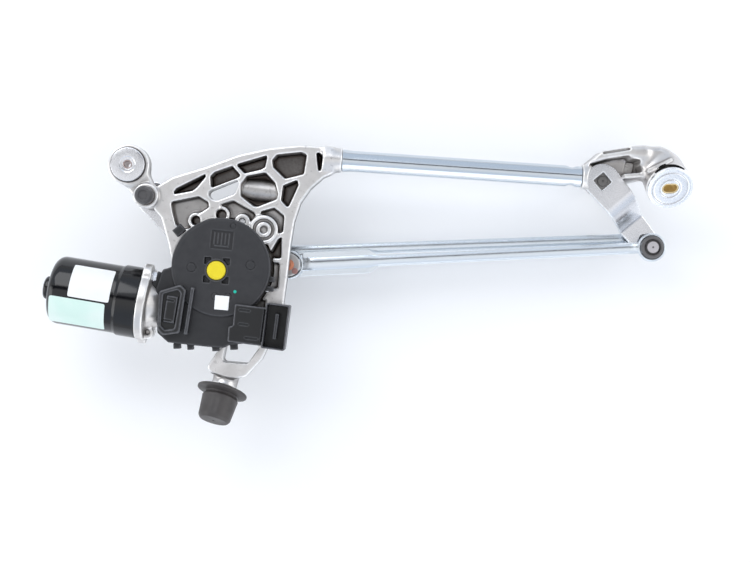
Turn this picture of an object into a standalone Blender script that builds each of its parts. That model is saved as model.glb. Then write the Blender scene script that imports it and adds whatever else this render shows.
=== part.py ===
"""Windscreen wiper linkage: cast frame, gear motor, cranks, rods and two wiper spindles.

Metres, +Z up. The linkage lies with its motor side up and its wiper spindles pointing down.
The origin is the centre of the left mounting bush, in the plane of the support tube's axis.
"""

import math

import bmesh
import bpy
from mathutils import Matrix, Vector

MM = 0.001
GAP = 0.3 * MM

# Places of the axes that the linkage is built on, in the plane of the frame
LEFT_BUSH = Vector((0.0, 0.0, 0.0))
DRIVER_AXIS = Vector((17.0, -29.5, 0.0)) * MM
PASSENGER_AXIS = Vector((451.0, -14.2, 0.0)) * MM
OUTPUT_AXIS = Vector((89.3, -96.9, 0.0)) * MM
RIGHT_BUSH = Vector((509.5, -12.0, -5.0)) * MM
FOOT = Vector((88.5, -211.5, -2.0)) * MM

# Lengths of the linkage's members, and the lever's direction where the wipers park
LEVER_LENGTH = 81.6 * MM
BALL_SPACING = 11.4 * MM
INNER_BALL_RADIUS = LEVER_LENGTH - BALL_SPACING
LEVER_PARK_ANGLE = math.radians(-50.2)
CRANK_LENGTH = 60.0 * MM

# Heights of the layers, from the camera side down
COVER_TOP_Z = 26.0 * MM
HOUSING_TOP_Z = 16.0 * MM
MOTOR_AXIS_Z = 8.0 * MM
FRAME_TOP_Z = 8.0 * MM
FRAME_BOTTOM_Z = -12.0 * MM
WEB_THICKNESS = 3.0 * MM
OUTPUT_BOSS_Z = -22.0 * MM
CRANK_TOP_Z = -22.6 * MM
ROD_A_TOP_Z = -34.0 * MM
ROD_B_TOP_Z = -49.0 * MM
ROD_HEIGHT = 7.0 * MM

# Plates of the cranks and levers
PLATE = 4.0 * MM
LEVER_HUB_RADIUS = 17.0 * MM
LEVER_TIP_RADIUS = 12.0 * MM
LEVER_BEND_START = 24.0 * MM
LEVER_BEND_END = 52.0 * MM
CRANK_TIP_RADIUS = 11.0 * MM
CRANK_HUB_RADIUS = 15.0 * MM

# Ball joints
BALL_RADIUS = 5.5 * MM
STUD_RADIUS = 3.5 * MM
SOCKET_RADIUS = 10.5 * MM
SOCKET_CLEARANCE = 0.3 * MM
ROD_EYE_RADIUS = 14.0 * MM

# Connecting rods: pressed channels
ROD_WIDTH = 11.0 * MM
ROD_WALL = 1.6 * MM
ROD_WIDE = 23.0 * MM
ROD_WIDE_LENGTH = 78.0 * MM

# Spindles and their bearings
SPINDLE_RADIUS = 5.0 * MM
BEARING_WALL = 2.5 * MM
RUNNING_CLEARANCE = 0.15 * MM
PIVOT_WALL = 4.0 * MM
DRIVER_SLEEVE_TOP_Z = 12.0 * MM
DRIVER_SLEEVE_BOTTOM_Z = -40.0 * MM
SPINDLE_END_Z = -82.0 * MM
KNURL_LENGTH = 9.0 * MM
THREAD_LENGTH = 11.0 * MM
PASSENGER_PLATE_Z = -16.0 * MM
PASSENGER_SLEEVE_BOTTOM_Z = -52.0 * MM
SQUARE_SIDE = 8.0 * MM

# Tube and its spigots
TUBE_RADIUS = 10.0 * MM
TUBE_WALL = 1.5 * MM
TUBE_LEFT = Vector((202.0, 4.5, 0.0)) * MM
TUBE_RIGHT = Vector((428.5, -11.0, 0.0)) * MM
SPIGOT_LENGTH = 28.0 * MM
COLLAR_RADIUS = 11.5 * MM
COLLAR_LENGTH = 6.0 * MM

# Rubber mounted bushes
LEFT_BUSH_RADIUS = 16.0 * MM
LEFT_BUSH_HEIGHT = 26.0 * MM
LEFT_BOLT_RADIUS = 4.2 * MM
RIGHT_BUSH_RADIUS = 20.0 * MM
RIGHT_BUSH_HEIGHT = 40.0 * MM
RIGHT_SLOT_RADIUS = 4.6 * MM
RIGHT_SLOT_HALF = 2.6 * MM
RIGHT_BUSH_TILT = Vector((0.06, -0.55, 0.83)).normalized()
BUSH_FLANGE = 2.5 * MM
RUBBER_WALL = 5.0 * MM
EYE_WALL = 4.5 * MM

# Rubber foot at the frame's lower corner
FOOT_DIRECTION = Vector((-0.24, -0.90, 0.36)).normalized()
FOOT_FLANGE_RADIUS = 24.0 * MM
FOOT_PLUG_RADIUS = 16.5 * MM
FOOT_PLUG_LENGTH = 27.0 * MM
FOOT_FLANGE_THICKNESS = 6.0 * MM
FOOT_PEG_RADIUS = 7.0 * MM
FOOT_PEG_LENGTH = 22.0 * MM

# Motor and worm drive
MOTOR_ANGLE = math.radians(-9.5)
WORM_CENTRE_DISTANCE = 46.0 * MM
WHEEL_RADIUS = 39.2 * MM
WHEEL_TEETH = 60
WHEEL_TOOTH = 2.0 * MM
WHEEL_THICKNESS = 8.0 * MM
WORM_RADIUS = 6.0 * MM
WORM_ROOT = 4.6 * MM
WORM_LENGTH = 30.0 * MM
CHAMBER_RADIUS = 41.5 * MM
HOUSING_WALL = 3.5 * MM
TUNNEL_RADIUS = 8.5 * MM
TUNNEL_WALL = 6.5 * MM
TUNNEL_END = 34.0 * MM
FLANGE_START = -70.0 * MM
FLANGE_THICKNESS = 8.0 * MM
FLANGE_RADIUS = 34.0 * MM
CAN_RADIUS = 32.0 * MM
CAN_BAND_RADIUS = 33.5 * MM
CAN_BAND_LENGTH = 18.0 * MM
CAN_LENGTH = 84.0 * MM
CAN_WALL = 2.0 * MM
CAN_NOSE_RADIUS = 11.0 * MM
CAN_NOSE_LENGTH = 8.0 * MM
CAN_CORNER = 11.0 * MM
MAGNET_THICKNESS = 6.0 * MM
MAGNET_LENGTH = 44.0 * MM
ARMATURE_RADIUS = 21.0 * MM
ARMATURE_LENGTH = 36.0 * MM
COMMUTATOR_RADIUS = 10.0 * MM
COMMUTATOR_LENGTH = 12.0 * MM
ARMATURE_SHAFT_RADIUS = 4.0 * MM

# Cover with its electronics box and connector
COVER_WALL = 2.2 * MM
POD_TOP_Z = 33.0 * MM
CONNECTOR_TOP_Z = 36.0 * MM
CONNECTOR_WALL = 2.0 * MM
CONNECTOR_FLOOR_Z = 18.0 * MM
PLUG_RADIUS = 8.7 * MM
PLUG_OFFSET = Vector((4.0, 3.0, 0.0)) * MM

# Fasteners
SCREW_RADIUS = 3.0 * MM
SCREW_HEAD_RADIUS = 5.0 * MM
SCREW_HEAD_HEIGHT = 4.0 * MM
NUT_RADIUS = 8.5 * MM
NUT_HEIGHT = 5.0 * MM

# Segments of small and large round shapes, and the stock left on a face until it is cut flat
ROUND = 24
FINE = 40
SHAVE = 0.7 * MM

# Base colour, metallic and roughness of each finish
FINISHES = {
    "cast_aluminium": ((0.62, 0.62, 0.60), 0.9, 0.42),
    "zinc_plate": ((0.66, 0.70, 0.74), 0.95, 0.26),
    "tube_steel": ((0.60, 0.65, 0.70), 0.95, 0.22),
    "dark_steel": ((0.12, 0.12, 0.13), 0.8, 0.40),
    "turned_steel": ((0.45, 0.44, 0.44), 0.95, 0.30),
    "black_paint": ((0.01, 0.01, 0.012), 0.3, 0.18),
    "black_plastic": ((0.035, 0.035, 0.04), 0.0, 0.48),
    "grey_plastic": ((0.13, 0.13, 0.14), 0.0, 0.45),
    "rubber": ((0.03, 0.028, 0.027), 0.0, 0.70),
    "yellow_plastic": ((0.90, 0.72, 0.02), 0.0, 0.40),
    "bronze": ((0.46, 0.27, 0.13), 0.9, 0.40),
    "nylon": ((0.75, 0.72, 0.62), 0.0, 0.50),
    "magnet": ((0.10, 0.10, 0.10), 0.2, 0.60),
    "copper": ((0.70, 0.31, 0.16), 0.95, 0.35),
}


def clear_scene():
    """Remove every object and the collections that hold them."""
    for item in list(bpy.data.objects):
        bpy.data.objects.remove(item, do_unlink=True)
    for group in list(bpy.data.collections):
        bpy.data.collections.remove(group)


def make_collection(name):
    """Return a new collection under the scene's own."""
    group = bpy.data.collections.new(name)
    bpy.context.scene.collection.children.link(group)
    return group


def make_material(name):
    """Return a Principled material with the finish of that name."""
    colour, metallic, roughness = FINISHES[name]
    material = bpy.data.materials.new(name)
    material.use_nodes = True
    shader = material.node_tree.nodes["Principled BSDF"]
    shader.inputs["Base Color"].default_value = (*colour, 1.0)
    shader.inputs["Metallic"].default_value = metallic
    shader.inputs["Roughness"].default_value = roughness
    return material


class Workshop:
    """Keeps the two collections and the empties that carry the moving pieces."""

    def __init__(self):
        self.parts = make_collection("wiper_linkage")
        self.cutters = make_collection("cutters")
        self.empties = {}

    def axis(self, name, place):
        """Add an empty on a joint's axis."""
        empty = bpy.data.objects.new("axis_" + name, None)
        empty.location = place
        empty.empty_display_size = 0.02
        self.parts.objects.link(empty)
        self.empties[name] = empty

    def tool(self, shape):
        """Turn a shape into a cutter or a piece to be joined."""
        shape.hide_render = True
        shape.display_type = "WIRE"
        self.cutters.objects.link(shape)
        return shape

    def part(self, shape, name, finish, carrier=None):
        """Turn a shape into a named node with its own material."""
        shape.name = name
        shape.data.name = name
        shape.data.materials.clear()
        material = make_material(finish)
        material.name = name + "_" + finish
        shape.data.materials.append(material)
        self.parts.objects.link(shape)
        if carrier:
            shape.parent = self.empties[carrier]
            shape.matrix_parent_inverse = Matrix.Translation(self.empties[carrier].location).inverted()
        return shape

    def boolean(self, target, tool, operation):
        """Add a Boolean modifier with another shape as its operand."""
        self.tool(tool)
        modifier = target.modifiers.new(operation.lower(), "BOOLEAN")
        modifier.operation = operation
        modifier.solver = "EXACT"
        modifier.object = tool

    def fuse(self, target, *tools):
        """Join solids onto a shape."""
        for tool in tools:
            self.boolean(target, tool, "UNION")
        return target

    def cut(self, target, *tools):
        """Cut solids out of a shape."""
        for tool in tools:
            self.boolean(target, tool, "DIFFERENCE")
        return target


def mesh_object(name, mesh_maker, matrix=None):
    """Return an object whose mesh is filled by a function that takes a bmesh."""
    shape = bmesh.new()
    mesh_maker(shape)
    if matrix is not None:
        bmesh.ops.transform(shape, matrix=matrix, verts=shape.verts)
    mesh = bpy.data.meshes.new(name)
    shape.to_mesh(mesh)
    shape.free()
    mesh.shade_smooth()
    mesh.set_sharp_from_angle(angle=math.radians(32))
    return bpy.data.objects.new(name, mesh)


def along(start, direction):
    """Return the matrix that takes local +Z at the origin to a direction at a place."""
    turn = Vector(direction).to_track_quat("Z", "Y").to_matrix().to_4x4()
    return Matrix.Translation(start) @ turn


def rod_between(start, end, radius, segments=ROUND, end_radius=None):
    """Return a closed cylinder or cone from one point to another."""
    start = Vector(start)
    run = Vector(end) - start
    top = radius if end_radius is None else end_radius

    def build(shape):
        bmesh.ops.create_cone(shape, cap_ends=True, segments=segments, radius1=radius, radius2=top,
                              depth=run.length, matrix=Matrix.Translation((0, 0, run.length / 2)))

    return mesh_object("cylinder", build, along(start, run))


def disc(centre, radius, bottom, top, segments=ROUND):
    """Return an upright cylinder between two heights."""
    x, y = centre[0], centre[1]
    return rod_between((x, y, bottom), (x, y, top), radius, segments)


def block(low, high, turn=0.0, pivot=(0.0, 0.0)):
    """Return a box between two corners, turned about an upright line through the pivot."""
    low, high = Vector(low), Vector(high)
    size = high - low
    fit = Matrix.Translation((low + high) / 2) @ Matrix.Diagonal((*size, 1.0))
    spin = Matrix.Translation((*pivot, 0)) @ Matrix.Rotation(turn, 4, "Z") @ Matrix.Translation((-pivot[0], -pivot[1], 0))

    def build(shape):
        bmesh.ops.create_cube(shape, size=1.0, matrix=fit)

    return mesh_object("block", build, spin)


def turned(profile, place=None, segments=ROUND):
    """Return a turned solid. The profile is (radius, height) points down the outer side."""
    mesh = bpy.data.meshes.new("profile")
    points = [(radius, 0.0, height) for radius, height in profile]
    edges = [(index, index + 1) for index in range(len(points) - 1)]
    mesh.from_pydata(points, edges, [])
    shape = bpy.data.objects.new("turned", mesh)
    screw = shape.modifiers.new("turn", "SCREW")
    screw.steps = segments
    screw.render_steps = segments
    screw.use_merge_vertices = True
    screw.merge_threshold = 0.00001
    screw.use_smooth_shade = True
    return baked(shape, place)


def baked(shape, matrix=None):
    """Return an object with the evaluated mesh of a shape, welded and moved to its place."""
    bpy.context.scene.collection.objects.link(shape)
    graph = bpy.context.evaluated_depsgraph_get()
    mesh = bpy.data.meshes.new_from_object(shape.evaluated_get(graph))
    kept = shape.matrix_world.copy()
    source = shape.data
    bpy.data.objects.remove(shape, do_unlink=True)
    if isinstance(source, bpy.types.Curve):
        bpy.data.curves.remove(source)
    result = bmesh.new()
    result.from_mesh(mesh)
    bmesh.ops.remove_doubles(result, verts=result.verts, dist=0.000001)
    bmesh.ops.transform(result, matrix=kept if matrix is None else matrix @ kept, verts=result.verts)
    result.to_mesh(mesh)
    result.free()
    mesh.shade_smooth()
    mesh.set_sharp_from_angle(angle=math.radians(32))
    return bpy.data.objects.new("solid", mesh)


def prism(outline, bottom, top):
    """Return a flat plate with the given outline between two heights."""
    curve = bpy.data.curves.new("outline", "CURVE")
    curve.dimensions = "2D"
    curve.fill_mode = "BOTH"
    curve.extrude = (top - bottom) / 2
    spline = curve.splines.new("POLY")
    spline.points.add(len(outline) - 1)
    for point, place in zip(spline.points, outline):
        point.co = (place[0], place[1], 0.0, 1.0)
    spline.use_cyclic_u = True
    shape = bpy.data.objects.new("plate", curve)
    return baked(shape, Matrix.Translation((0, 0, (top + bottom) / 2)))


def rounded(points, radius, steps=4):
    """Return the outline of a polygon with its corners rounded by arcs."""
    outline = []
    count = len(points)
    for index in range(count):
        corner = Vector(points[index][:2])
        before = Vector(points[index - 1][:2]) - corner
        after = Vector(points[(index + 1) % count][:2]) - corner
        angle = before.angle(after)
        reach = min(radius / math.tan(angle / 2), before.length * 0.45, after.length * 0.45)
        bend = reach * math.tan(angle / 2)
        middle = corner + (before.normalized() + after.normalized()).normalized() * (bend / math.sin(angle / 2))
        start = corner + before.normalized() * reach - middle
        sweep = start.angle_signed(corner + after.normalized() * reach - middle)
        for step in range(steps + 1):
            turn = -sweep * step / steps
            outline.append(middle + Matrix.Rotation(turn, 2) @ start)
    return outline


def link_outline(start, end, start_radius, end_radius, steps=10):
    """Return the outline of a plate with two round ends and straight tangent sides."""
    start, end = Vector(start[:2]), Vector(end[:2])
    run = end - start
    heading = math.atan2(run.y, run.x)
    lean = math.acos((start_radius - end_radius) / run.length)
    outline = []
    for step in range(steps + 1):
        turn = heading - lean + 2 * lean * step / steps
        outline.append(end + end_radius * Vector((math.cos(turn), math.sin(turn))))
    for step in range(steps + 1):
        turn = heading + lean + 2 * (math.pi - lean) * step / steps
        outline.append(start + start_radius * Vector((math.cos(turn), math.sin(turn))))
    return outline


def flat(points):
    """Return points given in millimetres as points in metres."""
    return [(x * MM, y * MM) for x, y in points]


def polar(centre, length, angle):
    """Return the point at a length and a direction from a centre."""
    return Vector((centre[0] + length * math.cos(angle), centre[1] + length * math.sin(angle), 0.0))


# The linkage's joints at rest, worked out from its lengths
OUTER_BALL = polar(PASSENGER_AXIS, LEVER_LENGTH, LEVER_PARK_ANGLE)
INNER_BALL = polar(PASSENGER_AXIS, INNER_BALL_RADIUS, LEVER_PARK_ANGLE)
DRIVER_BALL = polar(DRIVER_AXIS, INNER_BALL_RADIUS, LEVER_PARK_ANGLE)
CRANK_ANGLE = math.atan2(OUTER_BALL.y - OUTPUT_AXIS.y, OUTER_BALL.x - OUTPUT_AXIS.x)
CRANK_BALL = polar(OUTPUT_AXIS, CRANK_LENGTH, CRANK_ANGLE)
MOTOR_DIRECTION = Vector((math.cos(MOTOR_ANGLE), math.sin(MOTOR_ANGLE), 0.0))
MOTOR_NORMAL = Vector((-math.sin(MOTOR_ANGLE), math.cos(MOTOR_ANGLE), 0.0))
WORM_FOOT = OUTPUT_AXIS - MOTOR_NORMAL * WORM_CENTRE_DISTANCE + Vector((0, 0, MOTOR_AXIS_Z))
LEVER_PLANE_Z = ROD_A_TOP_Z - ROD_HEIGHT - 1.0 * MM
BALL_A_Z = ROD_A_TOP_Z - ROD_HEIGHT / 2
BALL_B_Z = ROD_B_TOP_Z - ROD_HEIGHT / 2
BEARING_RADIUS = SPINDLE_RADIUS + RUNNING_CLEARANCE + BEARING_WALL


def motor_point(distance, side=0.0, height=0.0):
    """Return the point at a distance along the worm's axis from the foot below the output shaft."""
    return WORM_FOOT + MOTOR_DIRECTION * distance + MOTOR_NORMAL * side + Vector((0, 0, height))


# Outline of the cast frame and of its cells, in millimetres
FRAME_OUTLINE = [
    (27, -20), (43, -11), (73, -2), (104.5, 9.5), (133, 15.7), (161.5, 18.5), (194, 16.8), (194, -8.5),
    (183, -20), (171, -38), (162, -58), (157, -76), (152, -104), (146, -133), (139, -157), (126, -184),
    (111, -200), (101, -202.5), (78, -197), (74, -191), (87, -171), (92, -150), (60, -141), (44, -110),
    (38, -75), (31, -50), (24, -42)]
DEEP_CELLS = [
    [(41, -29), (44, -24.5), (71, -10), (66, -19.5)],
    [(76.5, -9.7), (97, -1.5), (103.5, -10.5), (76.5, -20.5)],
    [(102, 1.4), (128.5, 8.3), (130, 4.5), (125, -3.5), (108.5, -6.5)],
    [(135.5, 8.8), (163.5, 12), (167.5, 7.2), (162.5, -9.5), (147, -13.4), (135.5, -3)],
    [(147, -19), (158.5, -14), (160, -20.5), (153.5, -36), (147, -31)]]
SHALLOW_CELLS = [[(106, -12.5), (128, -6), (141, -17.8), (141, -33), (118, -40), (104.5, -29.5)]]
WINDOWS = [
    [(73.5, -25), (103.5, -14), (98.5, -26.5), (82, -32.5)],
    [(177, 11.8), (188.5, 6), (178, -9.3)],
    [(47, -44), (66, -30), (76, -33.5), (76, -41), (63.5, -46.5), (56, -57), (48, -50)],
    [(137.5, -77), (145, -68), (143, -89), (135, -88)],
    [(93, -170), (124, -170), (112, -187), (90, -185)]]
GEARBOX_RECESS = 47.5 * MM
SHALLOW_WEB_Z = -1.0 * MM
RIM_BOSS = Vector((127.7, -61.3, 0.0)) * MM
RIM_BOSS_RADIUS = 13.5 * MM
GEARBOX_SCREWS = [(107.5, -53.5), (50.0, -118.0), (131.0, -117.5)]


def build_frame(shop):
    """The die cast frame: an arched honeycomb plate with the driver's pivot, an eye and a foot peg."""
    frame = prism(rounded(flat(FRAME_OUTLINE), 3 * MM, 2), FRAME_BOTTOM_Z, FRAME_TOP_Z)
    web_z = FRAME_BOTTOM_Z + WEB_THICKNESS
    above = FRAME_TOP_Z + 20 * MM
    below = FRAME_BOTTOM_Z - 20 * MM
    neck = (TUBE_RIGHT - TUBE_LEFT).normalized()
    ring = disc(DRIVER_AXIS, BEARING_RADIUS + PIVOT_WALL, DRIVER_SLEEVE_BOTTOM_Z, DRIVER_SLEEVE_TOP_Z)
    eye = disc(LEFT_BUSH, LEFT_BUSH_RADIUS + EYE_WALL - 1.0 * MM, -9 * MM, 8 * MM, FINE)
    arm = prism(link_outline(LEFT_BUSH, DRIVER_AXIS, 12 * MM, 10 * MM), -9 * MM, 7.4 * MM)
    collar = rod_between(TUBE_LEFT - neck * 16 * MM, TUBE_LEFT - neck * GAP, COLLAR_RADIUS)
    spigot = rod_between(TUBE_LEFT - neck * 12 * MM, TUBE_LEFT + neck * SPIGOT_LENGTH,
                         TUBE_RADIUS - TUBE_WALL - GAP)
    boss = disc(RIM_BOSS, RIM_BOSS_RADIUS, FRAME_BOTTOM_Z, FRAME_TOP_Z + 2.6 * MM)
    peg = rod_between(FOOT - FOOT_DIRECTION * 10 * MM, FOOT + FOOT_DIRECTION * FOOT_PEG_LENGTH, FOOT_PEG_RADIUS)
    shoulder = rod_between(FOOT - FOOT_DIRECTION * 12 * MM, FOOT - FOOT_DIRECTION * GAP, FOOT_PEG_RADIUS + 5 * MM)
    cells = [prism(rounded(flat(cell), 2.2 * MM, 2), web_z, above) for cell in DEEP_CELLS]
    cells += [prism(rounded(flat(cell), 3 * MM, 2), SHALLOW_WEB_Z, above) for cell in SHALLOW_CELLS]
    cells += [prism(rounded(flat(cell), 2 * MM, 2), below, above) for cell in WINDOWS]
    recess = disc(OUTPUT_AXIS, GEARBOX_RECESS, web_z, above, FINE)
    shaft_hole = disc(OUTPUT_AXIS, 17 * MM + GAP, below, above)
    tunnel = block(motor_point(-90 * MM, -24 * MM, -MOTOR_AXIS_Z + web_z),
                   motor_point(-90 * MM, -24 * MM, -MOTOR_AXIS_Z + web_z) + Vector((135, 46, 40)) * MM,
                   MOTOR_ANGLE, motor_point(-90 * MM, -24 * MM)[:2])
    shop.cut(frame, *cells, recess, shaft_hole, tunnel)
    shop.fuse(frame, boss, collar, spigot, arm, eye, ring, shoulder, peg)
    groove = disc(RIM_BOSS, RIM_BOSS_RADIUS - 3 * MM, FRAME_TOP_Z - 3 * MM, above)
    core = disc(RIM_BOSS, RIM_BOSS_RADIUS - 6 * MM, FRAME_TOP_Z - 6 * MM, FRAME_TOP_Z + 1.5 * MM)
    shop.cut(frame, groove)
    shop.fuse(frame, core)
    clearance = disc(OUTPUT_AXIS, CHAMBER_RADIUS + HOUSING_WALL + GAP * 2, web_z, above, FINE)
    bush_hole = disc(LEFT_BUSH, LEFT_BUSH_RADIUS - 2.0 * MM, -40 * MM, 40 * MM, FINE)
    bearing_hole = disc(DRIVER_AXIS, BEARING_RADIUS + GAP, -60 * MM, 40 * MM)
    screws = [disc(Vector((x, y)) * MM, SCREW_RADIUS + GAP, below, above, 16) for x, y in GEARBOX_SCREWS]
    shop.cut(frame, clearance, bush_hole, bearing_hole, *screws)
    return shop.part(frame, "frame_casting", "cast_aluminium")


def build_tube(shop):
    """The drawn steel tube that joins the frame to the passenger's pivot."""
    tube = rod_between(TUBE_LEFT, TUBE_RIGHT, TUBE_RADIUS)
    run = (TUBE_RIGHT - TUBE_LEFT).normalized()
    shop.cut(tube, rod_between(TUBE_LEFT - run * MM, TUBE_RIGHT + run * MM, TUBE_RADIUS - TUBE_WALL))
    return shop.part(tube, "support_tube", "tube_steel")


def build_pivot_casting(shop):
    """The casting at the tube's far end: passenger's pivot, ribbed arms and the tilted bush eye."""
    run = (TUBE_RIGHT - TUBE_LEFT).normalized()
    px, py = PASSENGER_AXIS.x, PASSENGER_AXIS.y
    top = PASSENGER_PLATE_Z - GAP
    half = RIGHT_BUSH_HEIGHT / 2 - BUSH_FLANGE - 1.5 * MM
    eye_low = RIGHT_BUSH - RIGHT_BUSH_TILT * half
    eye_high = RIGHT_BUSH + RIGHT_BUSH_TILT * half
    outer = RIGHT_BUSH_RADIUS - BUSH_FLANGE + EYE_WALL
    body = rod_between(eye_low, eye_high, outer - 1.5 * MM, FINE, outer)
    collar = rod_between(TUBE_RIGHT + run * GAP, TUBE_RIGHT + run * COLLAR_LENGTH, COLLAR_RADIUS)
    spigot = rod_between(TUBE_RIGHT - run * SPIGOT_LENGTH, TUBE_RIGHT + run * COLLAR_LENGTH / 2,
                         TUBE_RADIUS - TUBE_WALL - GAP)
    wall = rounded([(px - 20 * MM, py + 8.2 * MM), (px - 20 * MM, py + 13 * MM), (px - 4 * MM, py + 29 * MM),
                    (px + 24 * MM, py + 35 * MM), (px + 50 * MM, py + 33 * MM), (px + 50 * MM, py + 21 * MM),
                    (px + 22 * MM, py + 24 * MM), (px + 2 * MM, py + 21.5 * MM), (px - 14.5 * MM, py + 16 * MM)],
                   3 * MM, 2)
    arch = prism(wall, -30 * MM, 8 * MM)
    floor = prism(rounded([(px - 16 * MM, py - 4 * MM), (px - 19.5 * MM, py + 14 * MM), (px - 2 * MM, py + 27 * MM),
                           (px + 46 * MM, py + 31 * MM), (px + 40 * MM, py + 2 * MM), (px + 20 * MM, py - 3 * MM),
                           (px + 12 * MM, py - 12 * MM),
                           (px - 10 * MM, py - 12 * MM)], 5 * MM, 2), -28.5 * MM, top - 2.0 * MM)
    rib = block((px + 19.5 * MM, py + 3 * MM, -26 * MM), (px + 44 * MM, py + 6 * MM, 2 * MM))
    sleeve = disc(PASSENGER_AXIS, BEARING_RADIUS + PIVOT_WALL, PASSENGER_SLEEVE_BOTTOM_Z, top)
    window = prism(rounded([(px + 21 * MM, py + 8.5 * MM), (px + 24 * MM, py + 20 * MM), (px + 33 * MM, py + 19 * MM),
                            (px + 31 * MM, py + 8.5 * MM)], 2 * MM, 2), -60 * MM, 40 * MM)
    shop.fuse(body, arch, floor, rib, collar, spigot, sleeve)
    lever_room = disc(PASSENGER_AXIS, LEVER_HUB_RADIUS + 0.7 * MM, top, 40 * MM, FINE)
    bush_hole = rod_between(RIGHT_BUSH - RIGHT_BUSH_TILT * 80 * MM, RIGHT_BUSH + RIGHT_BUSH_TILT * 80 * MM,
                            RIGHT_BUSH_RADIUS - BUSH_FLANGE, FINE)
    bearing_hole = disc(PASSENGER_AXIS, BEARING_RADIUS + GAP, -80 * MM, 40 * MM)
    ends = [rod_between(end, end + RIGHT_BUSH_TILT * reach, outer + 0.6 * MM, FINE)
            for end, reach in ((eye_low, -60 * MM), (eye_high, 60 * MM))]
    shop.cut(body, window, lever_room, bush_hole, bearing_hole, *ends)
    return shop.part(body, "pivot_casting", "cast_aluminium")


def build_bushes(shop):
    """Rubber rings with flanged steel sleeves in the two mounting eyes."""
    half = LEFT_BUSH_HEIGHT / 2
    eye_low, eye_high = -9 * MM, 8 * MM
    rubber_outer = LEFT_BUSH_RADIUS - 2.0 * MM - GAP
    sleeve_outer = rubber_outer - RUBBER_WALL
    lip = LEFT_BUSH_RADIUS + 1.0 * MM
    bore = sleeve_outer + GAP
    end = half - BUSH_FLANGE - GAP
    rubber = turned([(bore, end), (lip, end), (lip, eye_high + GAP), (rubber_outer, eye_high + GAP),
                     (rubber_outer, eye_low - GAP), (lip, eye_low - GAP), (lip, -end), (bore, -end), (bore, end)])
    shop.part(rubber, "left_bush_rubber", "rubber")
    sleeve = turned([(LEFT_BOLT_RADIUS, half), (LEFT_BUSH_RADIUS, half), (LEFT_BUSH_RADIUS, half - BUSH_FLANGE),
                     (sleeve_outer, half - BUSH_FLANGE), (sleeve_outer, -half + BUSH_FLANGE),
                     (LEFT_BUSH_RADIUS, -half + BUSH_FLANGE), (LEFT_BUSH_RADIUS, -half), (LEFT_BOLT_RADIUS, -half),
                     (LEFT_BOLT_RADIUS, half)])
    shop.part(sleeve, "left_bush_sleeve", "zinc_plate")
    half = RIGHT_BUSH_HEIGHT / 2
    place = along(RIGHT_BUSH, RIGHT_BUSH_TILT)
    bore = RIGHT_BUSH_RADIUS - BUSH_FLANGE
    outer = bore + EYE_WALL - 1.0 * MM
    edge = half - BUSH_FLANGE - 1.5 * MM
    inner = bore - GAP - RUBBER_WALL
    rubber = turned([(inner + GAP, half - BUSH_FLANGE - GAP), (outer, half - BUSH_FLANGE - GAP), (outer, edge + GAP),
                     (bore - GAP, edge + GAP), (bore - GAP, -edge - GAP), (outer, -edge - GAP),
                     (outer, -half + BUSH_FLANGE + GAP), (inner + GAP, -half + BUSH_FLANGE + GAP),
                     (inner + GAP, half - BUSH_FLANGE - GAP)], place)
    shop.part(rubber, "right_bush_rubber", "rubber")
    sleeve = turned([(0.0, half), (outer - 1.2 * MM, half), (outer - 1.2 * MM, half - BUSH_FLANGE),
                     (inner, half - BUSH_FLANGE), (inner, -half + BUSH_FLANGE), (outer - 1.2 * MM, -half + BUSH_FLANGE),
                     (outer - 1.2 * MM, -half), (0.0, -half)], place)
    slot = prism(link_outline((-RIGHT_SLOT_HALF, 0), (RIGHT_SLOT_HALF, 0), RIGHT_SLOT_RADIUS, RIGHT_SLOT_RADIUS, 8),
                 -half - 5 * MM, half + 5 * MM)
    slot.data.transform(place @ Matrix.Rotation(math.radians(90), 4, "Z"))
    shop.cut(sleeve, slot)
    shop.part(sleeve, "right_bush_sleeve", "zinc_plate")


def build_foot(shop):
    """The rubber foot that plugs into the body panel."""
    place = along(FOOT, FOOT_DIRECTION)
    bore = FOOT_PEG_RADIUS + GAP
    depth = FOOT_PEG_LENGTH + GAP
    end = FOOT_PLUG_LENGTH + FOOT_FLANGE_THICKNESS
    foot = turned([(0.0, end), (FOOT_PLUG_RADIUS - 4 * MM, end), (FOOT_PLUG_RADIUS - 1 * MM, end - 3 * MM),
                   (FOOT_PLUG_RADIUS + 1.0 * MM, FOOT_FLANGE_THICKNESS + 3 * MM),
                   (FOOT_PLUG_RADIUS - 1.0 * MM, FOOT_FLANGE_THICKNESS),
                   (FOOT_FLANGE_RADIUS, FOOT_FLANGE_THICKNESS - 1 * MM), (FOOT_FLANGE_RADIUS, 2.5 * MM),
                   (FOOT_PLUG_RADIUS - 2 * MM, 0.0), (bore, 0.0), (bore, depth), (0.0, depth)], place)
    shop.part(foot, "foot_grommet", "rubber")


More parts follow.
